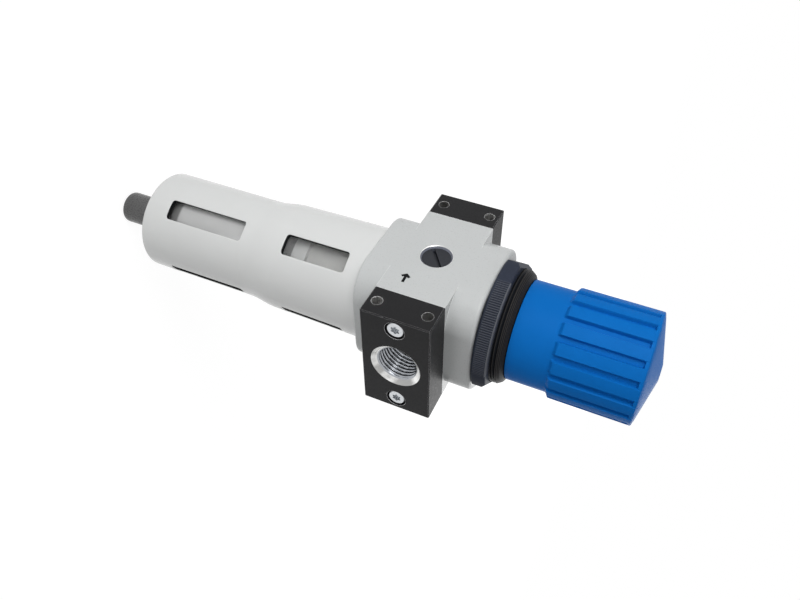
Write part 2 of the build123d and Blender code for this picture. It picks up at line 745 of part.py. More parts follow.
with BuildPart() as bowl:
    with BuildSketch(Plane.XZ):
        with BuildLine():
            Polyline(
                (BOWL_LOWER_BORE_R, BOWL_FLOOR + 10),
                (BOWL_LOWER_BORE_R, SHOULDER_BOTTOM - 1),
                (BOWL_BORE_R, SHOULDER_TOP - 1),
                (BOWL_BORE_R, SPIGOT_TOP),
                (SPIGOT_R, SPIGOT_TOP),
                (SPIGOT_R, THREAD_TOP - GAP),
                (FLANGE_R, THREAD_TOP - GAP),
                (FLANGE_R, FLANGE_BOTTOM),
                (BOWL_R, FLANGE_BOTTOM),
                (BOWL_R, SHOULDER_TOP - 1),
                (BOWL_LOWER_R, SHOULDER_BOTTOM - 1),
                (BOWL_LOWER_R, BOWL_FLOOR + 10),
            )
            ThreePointArc(
                (BOWL_LOWER_R, BOWL_FLOOR + 10),
                (17.6, BOWL_FLOOR + 1.6),
                (9.0, BOWL_FLOOR - 2.6),
            )
            Polyline(
                (9.0, BOWL_FLOOR - 2.6),
                (BOWL_BOSS_R, BOWL_FLOOR - 2.6),
                (BOWL_BOSS_R, BOWL_BOSS_BOTTOM),
                (DRAIN_R, BOWL_BOSS_BOTTOM),
                (DRAIN_R, BOWL_FLOOR),
                (8.5, BOWL_FLOOR),
            )
            ThreePointArc(
                (8.5, BOWL_FLOOR),
                (15.8, BOWL_FLOOR + 3.4),
                (BOWL_LOWER_BORE_R, BOWL_FLOOR + 10),
            )
        make_face()
    revolve(axis=Axis.Z)
finish(bowl, "bowl")

with BuildPart() as bowl_seal:
    seal_r = (SEAL_BORE_R + SPIGOT_R) / 2
    with BuildSketch(Plane.XZ):
        with Locations((seal_r, THREAD_TOP + 1.0)):
            RegularPolygon((SEAL_BORE_R - SPIGOT_R) / 2 - SLIP, SEAL_SIDES, rotation=180 / SEAL_SIDES)
    revolve(axis=Axis.Z)
finish(bowl_seal, "bowl_seal")

# ------------------------------------------------------------------ bowl guard

with BuildPart() as bowl_guard:
    guard_section = section(
        [
            (GUARD_BORE_R, FLANGE_BOTTOM),
            (THREAD_R - SLIP, FLANGE_BOTTOM),
            (THREAD_R - SLIP, BODY_BOTTOM - GAP),
            (GUARD_TOP_R, BODY_BOTTOM - GAP),
            (GUARD_WAIST_R, SHOULDER_TOP),
            (GUARD_R, SHOULDER_BOTTOM),
            (GUARD_R, GUARD_BOTTOM + 1.6),
            (GUARD_R - 0.5, GUARD_BOTTOM + 0.5),
            (GUARD_R - 1.6, GUARD_BOTTOM),
            (GUARD_HOLE_R, GUARD_BOTTOM),
            (GUARD_HOLE_R, GUARD_BOTTOM + GUARD_FLOOR_T),
            (GUARD_LOWER_BORE_R - 1.5, GUARD_BOTTOM + GUARD_FLOOR_T),
            (GUARD_LOWER_BORE_R, GUARD_BOTTOM + GUARD_FLOOR_T + 1.5),
            (GUARD_LOWER_BORE_R, SHOULDER_BOTTOM - 0.5),
            (GUARD_BORE_R, SHOULDER_TOP - 0.5),
        ]
    )
    revolve(guard_section, axis=Axis.Z)
    # Windows: two rows, a quarter turn apart
    for quarter in range(4):
        angle = WINDOW_ANGLE + 90 * quarter
        across = Vector(0, 1, 0).rotate(Axis.Z, angle)
        outward = Vector(1, 0, 0).rotate(Axis.Z, angle)
        facing = Plane(origin=(0, 0, 0), x_dir=across, z_dir=outward)
        with BuildSketch(facing.offset(GUARD_LOWER_BORE_R - 4)):
            for low, high in (UPPER_WINDOW, LOWER_WINDOW):
                with Locations((0, (low + high) / 2)):
                    RectangleRounded(WINDOW_W, high - low, WINDOW_R)
        extrude(amount=GUARD_TOP_R - GUARD_LOWER_BORE_R + 5, mode=Mode.SUBTRACT)
finish(bowl_guard, "bowl_guard")

# ------------------------------------------------------------------ drain

with BuildPart() as drain_stem:
    stem_section = section(
        [
            (DRAIN_BORE_R, DRAIN_STEM_BOTTOM),
            (DRAIN_R - SEAT, DRAIN_STEM_BOTTOM),
            (DRAIN_R - SEAT, BOWL_FLOOR + 1.5),
            (DRAIN_R + 3, BOWL_FLOOR + 1.5),
            (DRAIN_R + 3, BOWL_FLOOR + 3),
            (DRAIN_BORE_R, BOWL_FLOOR + 3),
        ]
    )
    revolve(stem_section, axis=Axis.Z)
finish(drain_stem, "drain_stem")

with BuildPart() as drain_seal:
    with BuildSketch(Plane.XZ):
        with Locations((DRAIN_R + 1.2, BOWL_FLOOR + 0.75)):
            RegularPolygon(0.75 - SEAT, SEAL_SIDES, rotation=180 / SEAL_SIDES)
    revolve(axis=Axis.Z)
finish(drain_seal, "drain_seal")

with BuildPart() as drain_knob:
    knob_section = section(
        [
            (DRAIN_R + SLIP - SEAT, DRAIN_KNOB_TOP),
            (DRAIN_KNOB_R - 0.4, DRAIN_KNOB_TOP),
            (DRAIN_KNOB_R, DRAIN_KNOB_TOP - 0.4),
            (DRAIN_KNOB_R, DRAIN_KNOB_BOTTOM + 1.6),
            (DRAIN_KNOB_R - 0.5, DRAIN_KNOB_BOTTOM + 0.5),
            (DRAIN_KNOB_R - 1.6, DRAIN_KNOB_BOTTOM),
            (DRAIN_BORE_R + 0.2, DRAIN_KNOB_BOTTOM),
            (DRAIN_BORE_R + 0.2, DRAIN_STEM_BOTTOM - GAP),
            (DRAIN_R + SLIP - SEAT, DRAIN_STEM_BOTTOM - GAP),
        ]
    )
    revolve(knob_section, axis=Axis.Z)
finish(drain_knob, "drain_knob")
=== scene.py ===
import math

import bmesh
import bpy
import numpy as np
from mathutils import Matrix, Vector


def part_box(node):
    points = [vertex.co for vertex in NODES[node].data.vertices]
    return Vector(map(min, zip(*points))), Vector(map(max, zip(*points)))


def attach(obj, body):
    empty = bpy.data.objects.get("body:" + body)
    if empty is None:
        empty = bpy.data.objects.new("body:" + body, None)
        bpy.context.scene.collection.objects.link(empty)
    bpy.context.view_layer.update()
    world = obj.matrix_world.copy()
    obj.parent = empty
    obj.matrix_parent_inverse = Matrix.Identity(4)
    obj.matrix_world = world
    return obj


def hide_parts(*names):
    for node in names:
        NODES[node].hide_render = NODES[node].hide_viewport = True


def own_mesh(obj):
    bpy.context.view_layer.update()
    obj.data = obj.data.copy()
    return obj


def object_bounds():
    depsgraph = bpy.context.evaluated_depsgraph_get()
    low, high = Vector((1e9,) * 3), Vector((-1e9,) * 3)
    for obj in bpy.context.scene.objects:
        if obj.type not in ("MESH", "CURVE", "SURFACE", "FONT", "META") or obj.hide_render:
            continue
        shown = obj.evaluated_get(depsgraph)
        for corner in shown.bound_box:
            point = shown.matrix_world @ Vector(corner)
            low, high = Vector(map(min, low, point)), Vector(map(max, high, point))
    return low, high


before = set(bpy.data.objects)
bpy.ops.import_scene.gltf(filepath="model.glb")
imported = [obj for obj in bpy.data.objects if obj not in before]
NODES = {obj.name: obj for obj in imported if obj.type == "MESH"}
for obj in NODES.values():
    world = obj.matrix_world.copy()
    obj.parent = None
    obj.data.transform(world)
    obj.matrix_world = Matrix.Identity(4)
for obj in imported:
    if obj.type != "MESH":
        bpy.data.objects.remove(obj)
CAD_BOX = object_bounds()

bl_info = {
    "name": "Filter Regulator Dressing",
    "version": (1, 0, 0),
    "blender": (4, 5, 0),
    "location": "View3D > Sidebar > Regulator",
    "description": "Finishes and fine shapes of a compressed-air filter regulator",
    "category": "Object",
}

MM = 0.001
TURN = 2 * math.pi

# Sizes of the solids that the new surfaces follow, in millimetres
COLLAR_R = 26.0
RING_FLATS = 55.6
RING_ANGLE = 49.0
RING_FLAT_SLOPE = 1.7
RIB_STARTS = (-80.0, 100.0)
RIB_SPAN = 86.0
SKIRT_R = 22.8
PORT_R = 9.3
PORT_LEAD_R = 11.4
PORT_LEAD_START = 40.4
PORT_THREAD_END = 41.7
WALL_HOLE = (35.0, 11.25, 2.4)
GAUGE_LEAD_R = 7.3
# Each spring: solid, body, joint that shortens it, coil and wire radius, turns, travel, and whether its top end rides
# on the body while the other end stays where it is
SPRINGS = (
    ("main_spring", "carriage", "spring_nut_travel", 12.6, 1.9, 4.75, 7.5, True),
    ("valve_spring", "housing", "valve_stroke", 5.2, 0.45, 5.0, 1.2, False),
)


def node_mm(node):
    """Lowest and highest x, then y, then z of a solid of the frame, in millimetres."""
    return [(low / MM, high / MM) for low, high in zip(*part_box(node))]


# ---------------------------------------------------------------- sizes and colours


def length(name, text, default):
    """A length in millimetres that the user may change."""
    return bpy.props.FloatProperty(name=name, description=text, default=default, unit="NONE")


def colour(name, text, default):
    """A linear colour that the user may change."""
    return bpy.props.FloatVectorProperty(
        name=name, description=text, default=default, subtype="COLOR", size=3, min=0.0, max=1.0
    )


class RegulatorSizes(bpy.types.PropertyGroup):
    """Sizes in millimetres."""

    knurl_count: bpy.props.IntProperty(name="Knurl ribs", description="Fine ribs round the ring nut", default=190)
    knurl_depth: length("Knurl depth", "Height of the ring nut's ribs", 0.38)
    thread_pitch: length("Collar pitch", "Pitch of the collar thread", 1.5)
    port_pitch: length("Port pitch", "Pitch of the pipe thread", 1.814)
    port_ridge: length("Port ridge", "How far the pipe thread stands into the bore", 0.62)
    line_spacing: length("Tool line spacing", "Spacing of the fine lines on the collar's tapered end", 0.72)
    rib_count: bpy.props.IntProperty(name="Grip ribs", description="Ribs round the knob", default=18)
    rib_width: length("Rib width", "Width of a rib of the knob", 5.2)
    window_width: length("Window width", "Width of the guard's windows", 9.8)
    edge: length("Edge radius", "Rounding of cast and moulded edges", 0.35)
    arrow_stroke: length("Arrow stroke", "Width of the flow arrow's strokes", 1.25)


class RegulatorColours(bpy.types.PropertyGroup):
    """Base colours of the finishes."""

    paint: colour("Body paint", "Grey paint of the body", (0.52, 0.535, 0.535))
    guard_paint: colour("Guard paint", "Glossy grey paint of the guard", (0.655, 0.665, 0.66))
    anodised: colour("Anodised", "Black plates", (0.0085, 0.0085, 0.0095))
    black_metal: colour("Black metal", "Threaded collar", (0.010, 0.011, 0.014))
    ring_blue: colour("Ring nut", "Blue-black ring nut", (0.034, 0.04, 0.058))
    knob_blue: colour("Knob", "Blue plastic", (0.004, 0.14, 0.49))
    drain_grey: colour("Drain", "Drain knob", (0.066, 0.066, 0.066))
    white_plastic: colour("White plastic", "Deflector, baffle and rod", (0.74, 0.75, 0.74))
    bowl_tint: colour("Bowl", "Milky bowl", (0.96, 0.965, 0.965))
    bare_steel: colour("Steel", "Screws and springs", (0.62, 0.64, 0.66))
    bare_metal: colour("Bare metal", "Cut threads and turned aluminium", (0.66, 0.66, 0.65))
    brass: colour("Brass", "Valve parts", (0.66, 0.48, 0.22))
    rubber: colour("Rubber", "Seals and diaphragm", (0.02, 0.02, 0.02))
    print_ink: colour("Ink", "Flow arrow", (0.004, 0.004, 0.005))


def sizes():
    """The scene's size settings."""
    return bpy.context.scene.regulator_sizes


def colours():
    """The scene's colour settings."""
    return bpy.context.scene.regulator_colours


# ---------------------------------------------------------------- finishes


def empty_tree(owner):
    """The cleared node tree of a material or a world."""
    owner.use_nodes = True
    owner.node_tree.nodes.clear()
    return owner.node_tree


def made(tree, kind, inputs, output=0, **settings):
    """One output of a new node with its settings and its inputs, each another node's output or a plain value."""
    node = tree.nodes.new(kind)
    for name, value in settings.items():
        setattr(node, name, value)
    for socket, value in inputs.items():
        if isinstance(value, bpy.types.NodeSocket):
            tree.links.new(value, node.inputs[socket])
        else:
            node.inputs[socket].default_value = value
    return node.outputs[output]


def end_tree(tree, kind, shader):
    """Ends a tree with its output node."""
    tree.links.new(shader, tree.nodes.new(kind).inputs["Surface"])


def new_material(name):
    """Node material that ends in a principled shader."""
    material = bpy.data.materials.new(name)
    tree = empty_tree(material)
    shader = tree.nodes.new("ShaderNodeBsdfPrincipled")
    end_tree(tree, "ShaderNodeOutputMaterial", shader.outputs["BSDF"])
    return material, tree, shader


def object_place(tree):
    """The object's own coordinates."""
    return made(tree, "ShaderNodeTexCoord", {}, "Object")


def noise(tree, scale, detail=4.0, stretch=(1, 1, 1)):
    """Noise on the object's own coordinates, in units of 1/scale metres."""
    vector = made(tree, "ShaderNodeMapping", {"Vector": object_place(tree), "Scale": stretch})
    return made(tree, "ShaderNodeTexNoise", {"Vector": vector, "Scale": scale, "Detail": detail}, "Fac")


def remap(tree, value, low, high, start=0.3, stop=0.7):
    """value from start..stop onto low..high."""
    ends = {"From Min": start, "From Max": stop, "To Min": low, "To Max": high}
    return made(tree, "ShaderNodeMapRange", {"Value": value, **ends}, "Result")


def arithmetic(tree, operation, first, second):
    """Result of a two-input sum on outputs or numbers."""
    return made(tree, "ShaderNodeMath", {0: first, 1: second}, "Value", operation=operation)


def blend_colour(tree, factor, first, second):
    """Mix of two colours, each an output or a plain colour, by factor."""
    first, second = (c if isinstance(c, bpy.types.NodeSocket) else (*c, 1.0) for c in (first, second))
    return made(tree, "ShaderNodeMix", {"Factor": factor, 6: first, 7: second}, 2, data_type="RGBA")


def edge_mask(tree, radius):
    """1 on edges sharper than the radius, 0 on flats: how far the rounded normal leaves the true one."""
    rounded = made(tree, "ShaderNodeBevel", {"Radius": radius * MM}, "Normal", samples=12)
    true = made(tree, "ShaderNodeNewGeometry", {}, "Normal")
    dot = made(tree, "ShaderNodeVectorMath", {0: rounded, 1: true}, "Value", operation="DOT_PRODUCT")
    return remap(tree, dot, 1.0, 0.0, 0.86, 0.985)


def bump(tree, shader, height, depth):
    """Bump of the given depth in millimetres from a height output."""
    normal = made(tree, "ShaderNodeBump", {"Strength": 1.0, "Distance": depth * MM, "Height": height}, "Normal")
    tree.links.new(normal, shader.inputs["Normal"])


def distance(tree, axis, centre=(0.0, 0.0, 0.0), mirrored=False):
    """Distance in metres from a line parallel to an axis, on the object's own coordinates. mirrored takes the
    coordinates without their signs first, so one line stands for its mirror images too."""
    spot = object_place(tree)
    if mirrored:
        spot = made(tree, "ShaderNodeVectorMath", {0: spot}, "Vector", operation="ABSOLUTE")
    flat = [0.0 if name == axis else 1.0 for name in "XYZ"]
    shift = [-c * f * MM for c, f in zip(centre, flat)]
    across = made(tree, "ShaderNodeMapping", {"Vector": spot, "Scale": flat, "Location": shift})
    return made(tree, "ShaderNodeVectorMath", {0: across}, "Value", operation="LENGTH")


def near_axes(tree, which):
    """1 between the inner and the outer radius round any of the given axes, 0 elsewhere."""
    fade = 0.04
    mask = None
    for axis, centre, inner, outer in which:
        away = distance(tree, axis, centre, True)
        inside = remap(tree, away, 1.0, 0.0, outer * MM, (outer + fade) * MM)
        if inner:
            beyond = remap(tree, away, 0.0, 1.0, (inner - fade) * MM, inner * MM)
            inside = arithmetic(tree, "MULTIPLY", inside, beyond)
        mask = inside if mask is None else arithmetic(tree, "MAXIMUM", mask, inside)
    return mask


BARE_ROUGHNESS = 0.36


def coat(
    name, base, rough, vary, metallic=0.0, grain=900.0, depth=0.01, specular=0.5,
    edge=None, edge_size=0.35, stretch=(1, 1, 1), bare=None, shade=None, crest=None,
):
    """Finish with a slow change of tone, a fine grain in roughness and bump, a painted highlight along sharp edges
    where edge is a colour, bare metal at the machined places in bare, painted shade in another colour at the places in
    shade, and a painted highlight in the crest colour where the mesh's own crest attribute is 1."""
    material, tree, shader = new_material(name)
    slow = noise(tree, 45.0, 3.0)
    fine = noise(tree, grain, 5.0, stretch)
    darker = tuple(c * (1 - vary) for c in base)
    lighter = tuple(min(1.0, c * (1 + vary)) for c in base)
    tone = blend_colour(tree, remap(tree, slow, 0.0, 1.0), darker, lighter)
    tone = blend_colour(tree, remap(tree, fine, 0.0, 0.35), tone, darker)
    roughness = remap(tree, fine, rough * 0.85, min(1.0, rough * 1.15))
    if edge is not None:
        # Painted highlight: the edge colour is laid in patches along sharp edges
        patchy_highlight = remap(tree, noise(tree, 260.0, 3.0), 0.75, 1.0)
        tone = blend_colour(tree, arithmetic(tree, "MULTIPLY", edge_mask(tree, edge_size), patchy_highlight), tone, edge)
    if crest is not None:
        # Painted highlight: the crest colour where the crest attribute is high
        high = made(tree, "ShaderNodeAttribute", {}, "Fac", attribute_name="crest")
        tone = blend_colour(tree, high, tone, crest)
    if shade is not None:
        # Painted shade: the shade colour over the places it lists
        tone = blend_colour(tree, near_axes(tree, shade[0]), tone, shade[1])
    shader.inputs["Metallic"].default_value = metallic
    shader.inputs["Specular IOR Level"].default_value = specular
    height = fine
    if bare is not None:
        cut = near_axes(tree, bare)
        turned = remap(tree, noise(tree, 110.0, 4.0), 0.0, 1.0, 0.36, 0.6)
        turned = blend_colour(tree, turned, tuple(0.6 * v for v in colours().bare_metal), (0.97, 0.97, 0.96))
        tone = blend_colour(tree, cut, tone, turned)
        if not metallic:
            tree.links.new(cut, shader.inputs["Metallic"])
        smoother = arithmetic(tree, "MULTIPLY", cut, rough - BARE_ROUGHNESS)
        roughness = arithmetic(tree, "SUBTRACT", roughness, smoother)
        height = arithmetic(tree, "MULTIPLY", fine, arithmetic(tree, "SUBTRACT", 1.0, cut))
    tree.links.new(tone, shader.inputs["Base Color"])
    tree.links.new(roughness, shader.inputs["Roughness"])
    if depth:
        bump(tree, shader, height, depth)
    return material


def clear_plastic(name, tint):
    """Moulded polycarbonate with a slightly uneven surface: clear over the filter, milky over the sump, and painted
    darker near the foot as painted shade."""
    material, tree, shader = new_material(name)
    waves = noise(tree, 120.0, 3.0)
    height = made(tree, "ShaderNodeSeparateXYZ", {0: object_place(tree)}, "Z")
    tone = blend_colour(tree, remap(tree, waves, 0.0, 1.0), tuple(c * 0.96 for c in tint), tint)
    # Painted shade: the tint darkens to 0.45 of itself below about -130 mm, by the foot
    foot = remap(tree, height, 1.0, 0.0, -130.6 * MM, -129.4 * MM)
    tone = blend_colour(tree, foot, tone, tuple(c * 0.45 for c in tint))
    clear = remap(tree, height, 0.58, 0.88, -88 * MM, -76 * MM)
    tree.links.new(tone, shader.inputs["Base Color"])
    tree.links.new(clear, shader.inputs["Transmission Weight"])
    tree.links.new(remap(tree, noise(tree, 400.0), 0.02, 0.06), shader.inputs["Roughness"])
    shader.inputs["IOR"].default_value = 1.4
    bump(tree, shader, waves, 0.03)
    return material


# Painted highlight: pale colour along the sharp edges of painted parts
PAINT_EDGE_HIGHLIGHT = (0.86, 0.87, 0.86)
# Places as near_axes takes them: axis, a point on it, inner and outer radius
PORT_BORE = ("X", (0, 0, 0), 0, PORT_R)
PORT_MOUTH = ("X", (0, 0, 0), 0, PORT_LEAD_R)
PORT_CONE = ("X", (0, 0, 0), PORT_R + 0.05, PORT_LEAD_R + 1)
# Painted shade: inside this radius the gauge recess is painted dark blue-grey
GAUGE_RECESS_SHADE = ("Y", (0, 0, 0), 0, GAUGE_LEAD_R - 0.2)
GAUGE_EDGE = ("Y", (0, 0, 0), GAUGE_LEAD_R - 0.2, GAUGE_LEAD_R)
WALL_HOLE_EDGE = ("Y", (WALL_HOLE[0], 0, WALL_HOLE[1]), WALL_HOLE[2] - 0.1, WALL_HOLE[2] + 0.04)
# Each finish: name of its material, colour or the setting that holds it, roughness, change of tone, and what else
# differs from the defaults of coat
COATS = {
    "paint": (
        "grey_paint", "guard_paint", 0.2, 0.012,
        dict(grain=1500.0, depth=0.0006, edge=PAINT_EDGE_HIGHLIGHT, edge_size=0.3, specular=0.9),
    ),
    "body_paint": (
        "body_paint", "paint", 0.3, 0.012,
        dict(
            grain=1500.0, depth=0.0008, edge=PAINT_EDGE_HIGHLIGHT, specular=0.4,
            # The gauge recess gets a dark blue-grey painted shade
            bare=(GAUGE_EDGE, PORT_BORE), shade=((GAUGE_RECESS_SHADE,), (0.12, 0.13, 0.165)),
        ),
    ),
    # The black plates' near-white edge colour is a painted highlight along their edges
    "anodised": (
        "black_anodised", "anodised", 0.5, 0.12,
        dict(
            grain=1300.0, depth=0.012, edge=(0.95, 0.95, 0.97), edge_size=0.32, specular=0.18,
            bare=(PORT_MOUTH, WALL_HOLE_EDGE),
        ),
    ),
    # The crest colours of the ring nut and the collar below are painted highlights on their crests
    "ring_metal": (
        "ring_black", "ring_blue", 0.4, 0.15,
        dict(grain=1200.0, depth=0.004, crest=(0.13, 0.135, 0.15), specular=0.02),
    ),
    "black_metal": (
        "black_metal", "black_metal", 0.42, 0.15,
        dict(grain=1200.0, depth=0.004, crest=(0.045, 0.042, 0.04), specular=0.02),
    ),
    "cut_thread": (
        "cut_thread", (0.37, 0.385, 0.41), 0.22, 0.15, dict(metallic=1.0, grain=500.0, depth=0.004, bare=(PORT_CONE,))
    ),
    "knob": ("knob_blue", "knob_blue", 0.42, 0.04, dict(grain=1800.0, depth=0.004, specular=0.03)),
    "drain": ("drain_plastic", "drain_grey", 0.28, 0.08, dict(grain=1500.0, depth=0.004, specular=0.6)),
    "black_plastic": ("black_plastic", (0.013, 0.015, 0.021), 0.45, 0.1, dict(specular=0.3)),
    "white_plastic": ("white_plastic", "white_plastic", 0.45, 0.04, {}),
    "porous": ("porous_plastic", (0.7, 0.7, 0.67), 0.85, 0.08, dict(grain=2500.0, depth=0.08)),
    "steel": ("zinc_steel", "bare_steel", 0.32, 0.08, dict(metallic=1.0, grain=700.0, depth=0.006)),
    "spring": ("spring_steel", (0.42, 0.42, 0.44), 0.35, 0.1, dict(metallic=1.0)),
    "bare": ("bare_metal", "bare_metal", 0.3, 0.06, dict(metallic=1.0, grain=500.0, depth=0.004, stretch=(1, 1, 8))),
    "brass": ("brass", "brass", 0.3, 0.08, dict(metallic=1.0, grain=700.0, depth=0.005)),
    "rubber": ("rubber", "rubber", 0.7, 0.2, {}),
    "inside": ("cast_inside", (0.62, 0.63, 0.62), 0.5, 0.06, dict(depth=0.004)),
    # Near-black painted shade for the guard's window walls
    "window_wall": ("window_wall", (0.012, 0.013, 0.014), 0.5, 0.1, dict(depth=0.004, specular=0.1)),
    "ink": ("print_ink", "print_ink", 0.6, 0.2, dict(depth=0.0, specular=0.1)),
}
MATERIALS = {}


def finish_of(key):
    """The material for a finish, made once."""
    if key in MATERIALS:
        return MATERIALS[key]
    if key == "clear":
        MATERIALS[key] = clear_plastic("clear_plastic", tuple(colours().bowl_tint))
    else:
        name, base, rough, vary, others = COATS[key]
        if isinstance(base, str):
            base = tuple(getattr(colours(), base))
        MATERIALS[key] = coat(name, base, rough, vary, **others)
    return MATERIALS[key]


# ---------------------------------------------------------------- surfaces


def grid_faces(count_u, count_v, wrap_u=False, wrap_v=False):
    """Squares between the neighbours in a grid of points. wrap closes a direction on itself."""
    i, j = np.arange(count_u - (not wrap_u))[:, None], np.arange(count_v - (not wrap_v))
    row, next_row, after = i * count_v, (i + 1) % count_u * count_v, (j + 1) % count_v
    return np.stack([row + j, next_row + j, next_row + after, row + after], axis=-1).reshape(-1, 4).tolist()


def surface(name, points, wrap_u=False, wrap_v=False, poles=(False, False)):
    """Mesh of a grid of points in millimetres, turned outward. A pole closes the first or last row with a fan round
    the row's mean point."""
    count_u, count_v = points.shape[:2]
    vertices = points.reshape(-1, 3)
    faces = grid_faces(count_u, count_v, wrap_u, wrap_v)
    ring = np.arange(count_v)
    following = (ring + 1) % count_v
    # A fan at the last row runs the other way round
    for wanted, row, first, second in ((poles[0], 0, ring, following), (poles[1], count_u - 1, following, ring)):
        if wanted:
            centre = np.full(count_v, len(vertices))
            vertices = np.vstack([vertices, points[row].mean(axis=0)])
            faces += np.stack([centre, row * count_v + first, row * count_v + second], -1).tolist()
    mesh = bpy.data.meshes.new(name)
    mesh.from_pydata((vertices * MM).tolist(), [], faces)
    mesh.validate()
    mesh.update()
    turn_outward(mesh)
    return mesh


def turn_outward(mesh):
    """Flips a closed mesh whose signed volume, the sum of a . (b x c) / 6 over its triangles, is below nought."""
    mesh.calc_loop_triangles()
    corners = np.empty(len(mesh.loop_triangles) * 3, np.int32)
    mesh.loop_triangles.foreach_get("vertices", corners)
    places = np.empty(len(mesh.vertices) * 3)
    mesh.vertices.foreach_get("co", places)
    triangles = places.reshape(-1, 3)[corners.reshape(-1, 3)]
    volume = np.einsum("ij,ij->", triangles[:, 0], np.cross(triangles[:, 1], triangles[:, 2]))
    if volume < 0:
        mesh.flip_normals()


def joined(name, meshes):
    """One mesh from several."""
    whole = bmesh.new()
    for mesh in meshes:
        whole.from_mesh(mesh)
        bpy.data.meshes.remove(mesh)
    result = bpy.data.meshes.new(name)
    whole.to_mesh(result)
    whole.free()
    return result


def weld(mesh, distance):
    """Joins points of a mesh that lie within a distance in millimetres, then turns its faces outward."""
    whole = bmesh.new()
    whole.from_mesh(mesh)
    bmesh.ops.remove_doubles(whole, verts=whole.verts, dist=distance * MM)
    bmesh.ops.recalc_face_normals(whole, faces=whole.faces)
    whole.to_mesh(mesh)
    whole.free()
    turn_outward(mesh)


def mark_crest_highlight(mesh, values):
    """Keeps a number from 0 to 1 on every point of a mesh, where the crest colour of its finish paints a highlight."""
    layer = mesh.attributes.new("crest", "FLOAT", "POINT")
    layer.data.foreach_set("value", np.ascontiguousarray(values, np.float32).ravel())


def place(mesh, body, key, stands_for=(), *, sharp):
    """Object of a mesh's name, smooth except at edges over the sharp angle, riding on a body with its finish."""
    mesh.shade_smooth()
    mesh.set_sharp_from_angle(angle=math.radians(sharp))
    obj = bpy.data.objects.new(mesh.name, mesh)
    bpy.context.scene.collection.objects.link(obj)
    mesh.materials.append(finish_of(key))
    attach(obj, body)
    if stands_for:
        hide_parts(*stands_for)
    return obj


def angles(count):
    """count even angles round a full turn."""
    return np.arange(count) * TURN / count


def rounded_profile(points, radius, steps):
    """Closed (radius, height) outline with every corner replaced by a curve. At each corner P the curve is
    (1-t)^2 A + 2t(1-t) P + t^2 B, with A and B on the two sides at the given distance or 0.45 of the side."""
    corner = np.asarray(points, float)
    before, after = np.roll(corner, 1, axis=0), np.roll(corner, -1, axis=0)
    span_a = np.linalg.norm(before - corner, axis=1, keepdims=True)
    span_b = np.linalg.norm(after - corner, axis=1, keepdims=True)
    start = corner + (before - corner) / span_a * np.minimum(radius, 0.45 * span_a)
    stop = corner + (after - corner) / span_b * np.minimum(radius, 0.45 * span_b)
    t = np.linspace(0, 1, steps)[None, :, None]
    curve = (1 - t) ** 2 * start[:, None] + 2 * t * (1 - t) * corner[:, None] + t**2 * stop[:, None]
    return curve.reshape(-1, 2)


def polar(reach, around, height):
    """Points at each radius, angle and height: (r cos a, r sin a, z)."""
    return np.stack(np.broadcast_arrays(reach * np.cos(around), reach * np.sin(around), height), axis=-1)


def lathe(profile, around):
    """Grid of a (radius, height) profile turned to each angle."""
    profile = np.asarray(profile, float)
    return polar(profile[:, :1], around, profile[:, 1:])


def thread_valley(height, around, pitch):
    """1 in the valley of a right-hand thread, 0 on its crest: |2 frac(height / pitch - angle / turn) - 1|."""
    return np.abs(2 * ((height / pitch - around / TURN) % 1.0) - 1)


def flats(around, half, angle):
    """Radius of two opposite flats: half / |cos(a - angle)|, and without limit along them."""
    return half / np.maximum(np.abs(np.cos(around - math.radians(angle))), 1e-3)


# ---------------------------------------------------------------- finishes of the solids

# Solids of the frame by finish
FINISHES = {
    "body_paint": ("body",),
    "anodised": ("inlet_plate", "outlet_plate"),
    "steel": ("inlet_plate_screws", "outlet_plate_screws", "adjusting_screw"),
    "rubber": ("inlet_plate_seal", "outlet_plate_seal", "diaphragm", "poppet_seal", "bowl_seal", "drain_seal"),
    "black_plastic": ("front_gauge_plug", "rear_gauge_plug", "valve_guide", "drain_stem"),
    "black_metal": ("bonnet",),
    "ring_metal": ("ring_nut",),
    "knob": ("adjusting_knob",),
    "brass": ("spring_nut", "valve_pin", "valve_seat", "valve_poppet"),
    "spring": ("main_spring", "valve_spring"),
    "bare": ("diaphragm_plate", "diaphragm_washer"),
    "white_plastic": ("deflector", "baffle_disc", "filter_rod"),
    "porous": ("filter_element",),
    "clear": ("bowl",),
    "paint": ("bowl_guard",),
    "drain": ("drain_knob",),
}


def soften(obj, width):
    """Joins a solid's loose triangles and rounds its sharp edges, leaving its own mesh as it is."""
    obj.data.shade_smooth()
    obj.modifiers.new("weld", "WELD").merge_threshold = 0.002 * MM
    bevel = obj.modifiers.new("edges", "BEVEL")
    bevel.width = width * MM
    bevel.segments = 2
    bevel.limit_method = "ANGLE"
    bevel.angle_limit = math.radians(32)
    bevel.miter_outer = "MITER_ARC"
    flat = obj.modifiers.new("faces", "WEIGHTED_NORMAL")
    flat.weight = 80
    flat.keep_sharp = True


class REGULATOR_OT_finishes(bpy.types.Operator):
    """Gives every solid of the frame its finish"""

    bl_idname = "regulator.finishes"
    bl_label = "Finish the solids"

    def execute(self, context):
        wanted = {name: key for key, names in FINISHES.items() for name in names}
        for name, obj in NODES.items():
            obj.data.materials.clear()
            obj.data.materials.append(finish_of(wanted[name]))
        for name, width in (("body", 0.5), ("inlet_plate", 0.3), ("outlet_plate", 0.3)):
            soften(NODES[name], width)
        return {"FINISHED"}


# ---------------------------------------------------------------- pieces


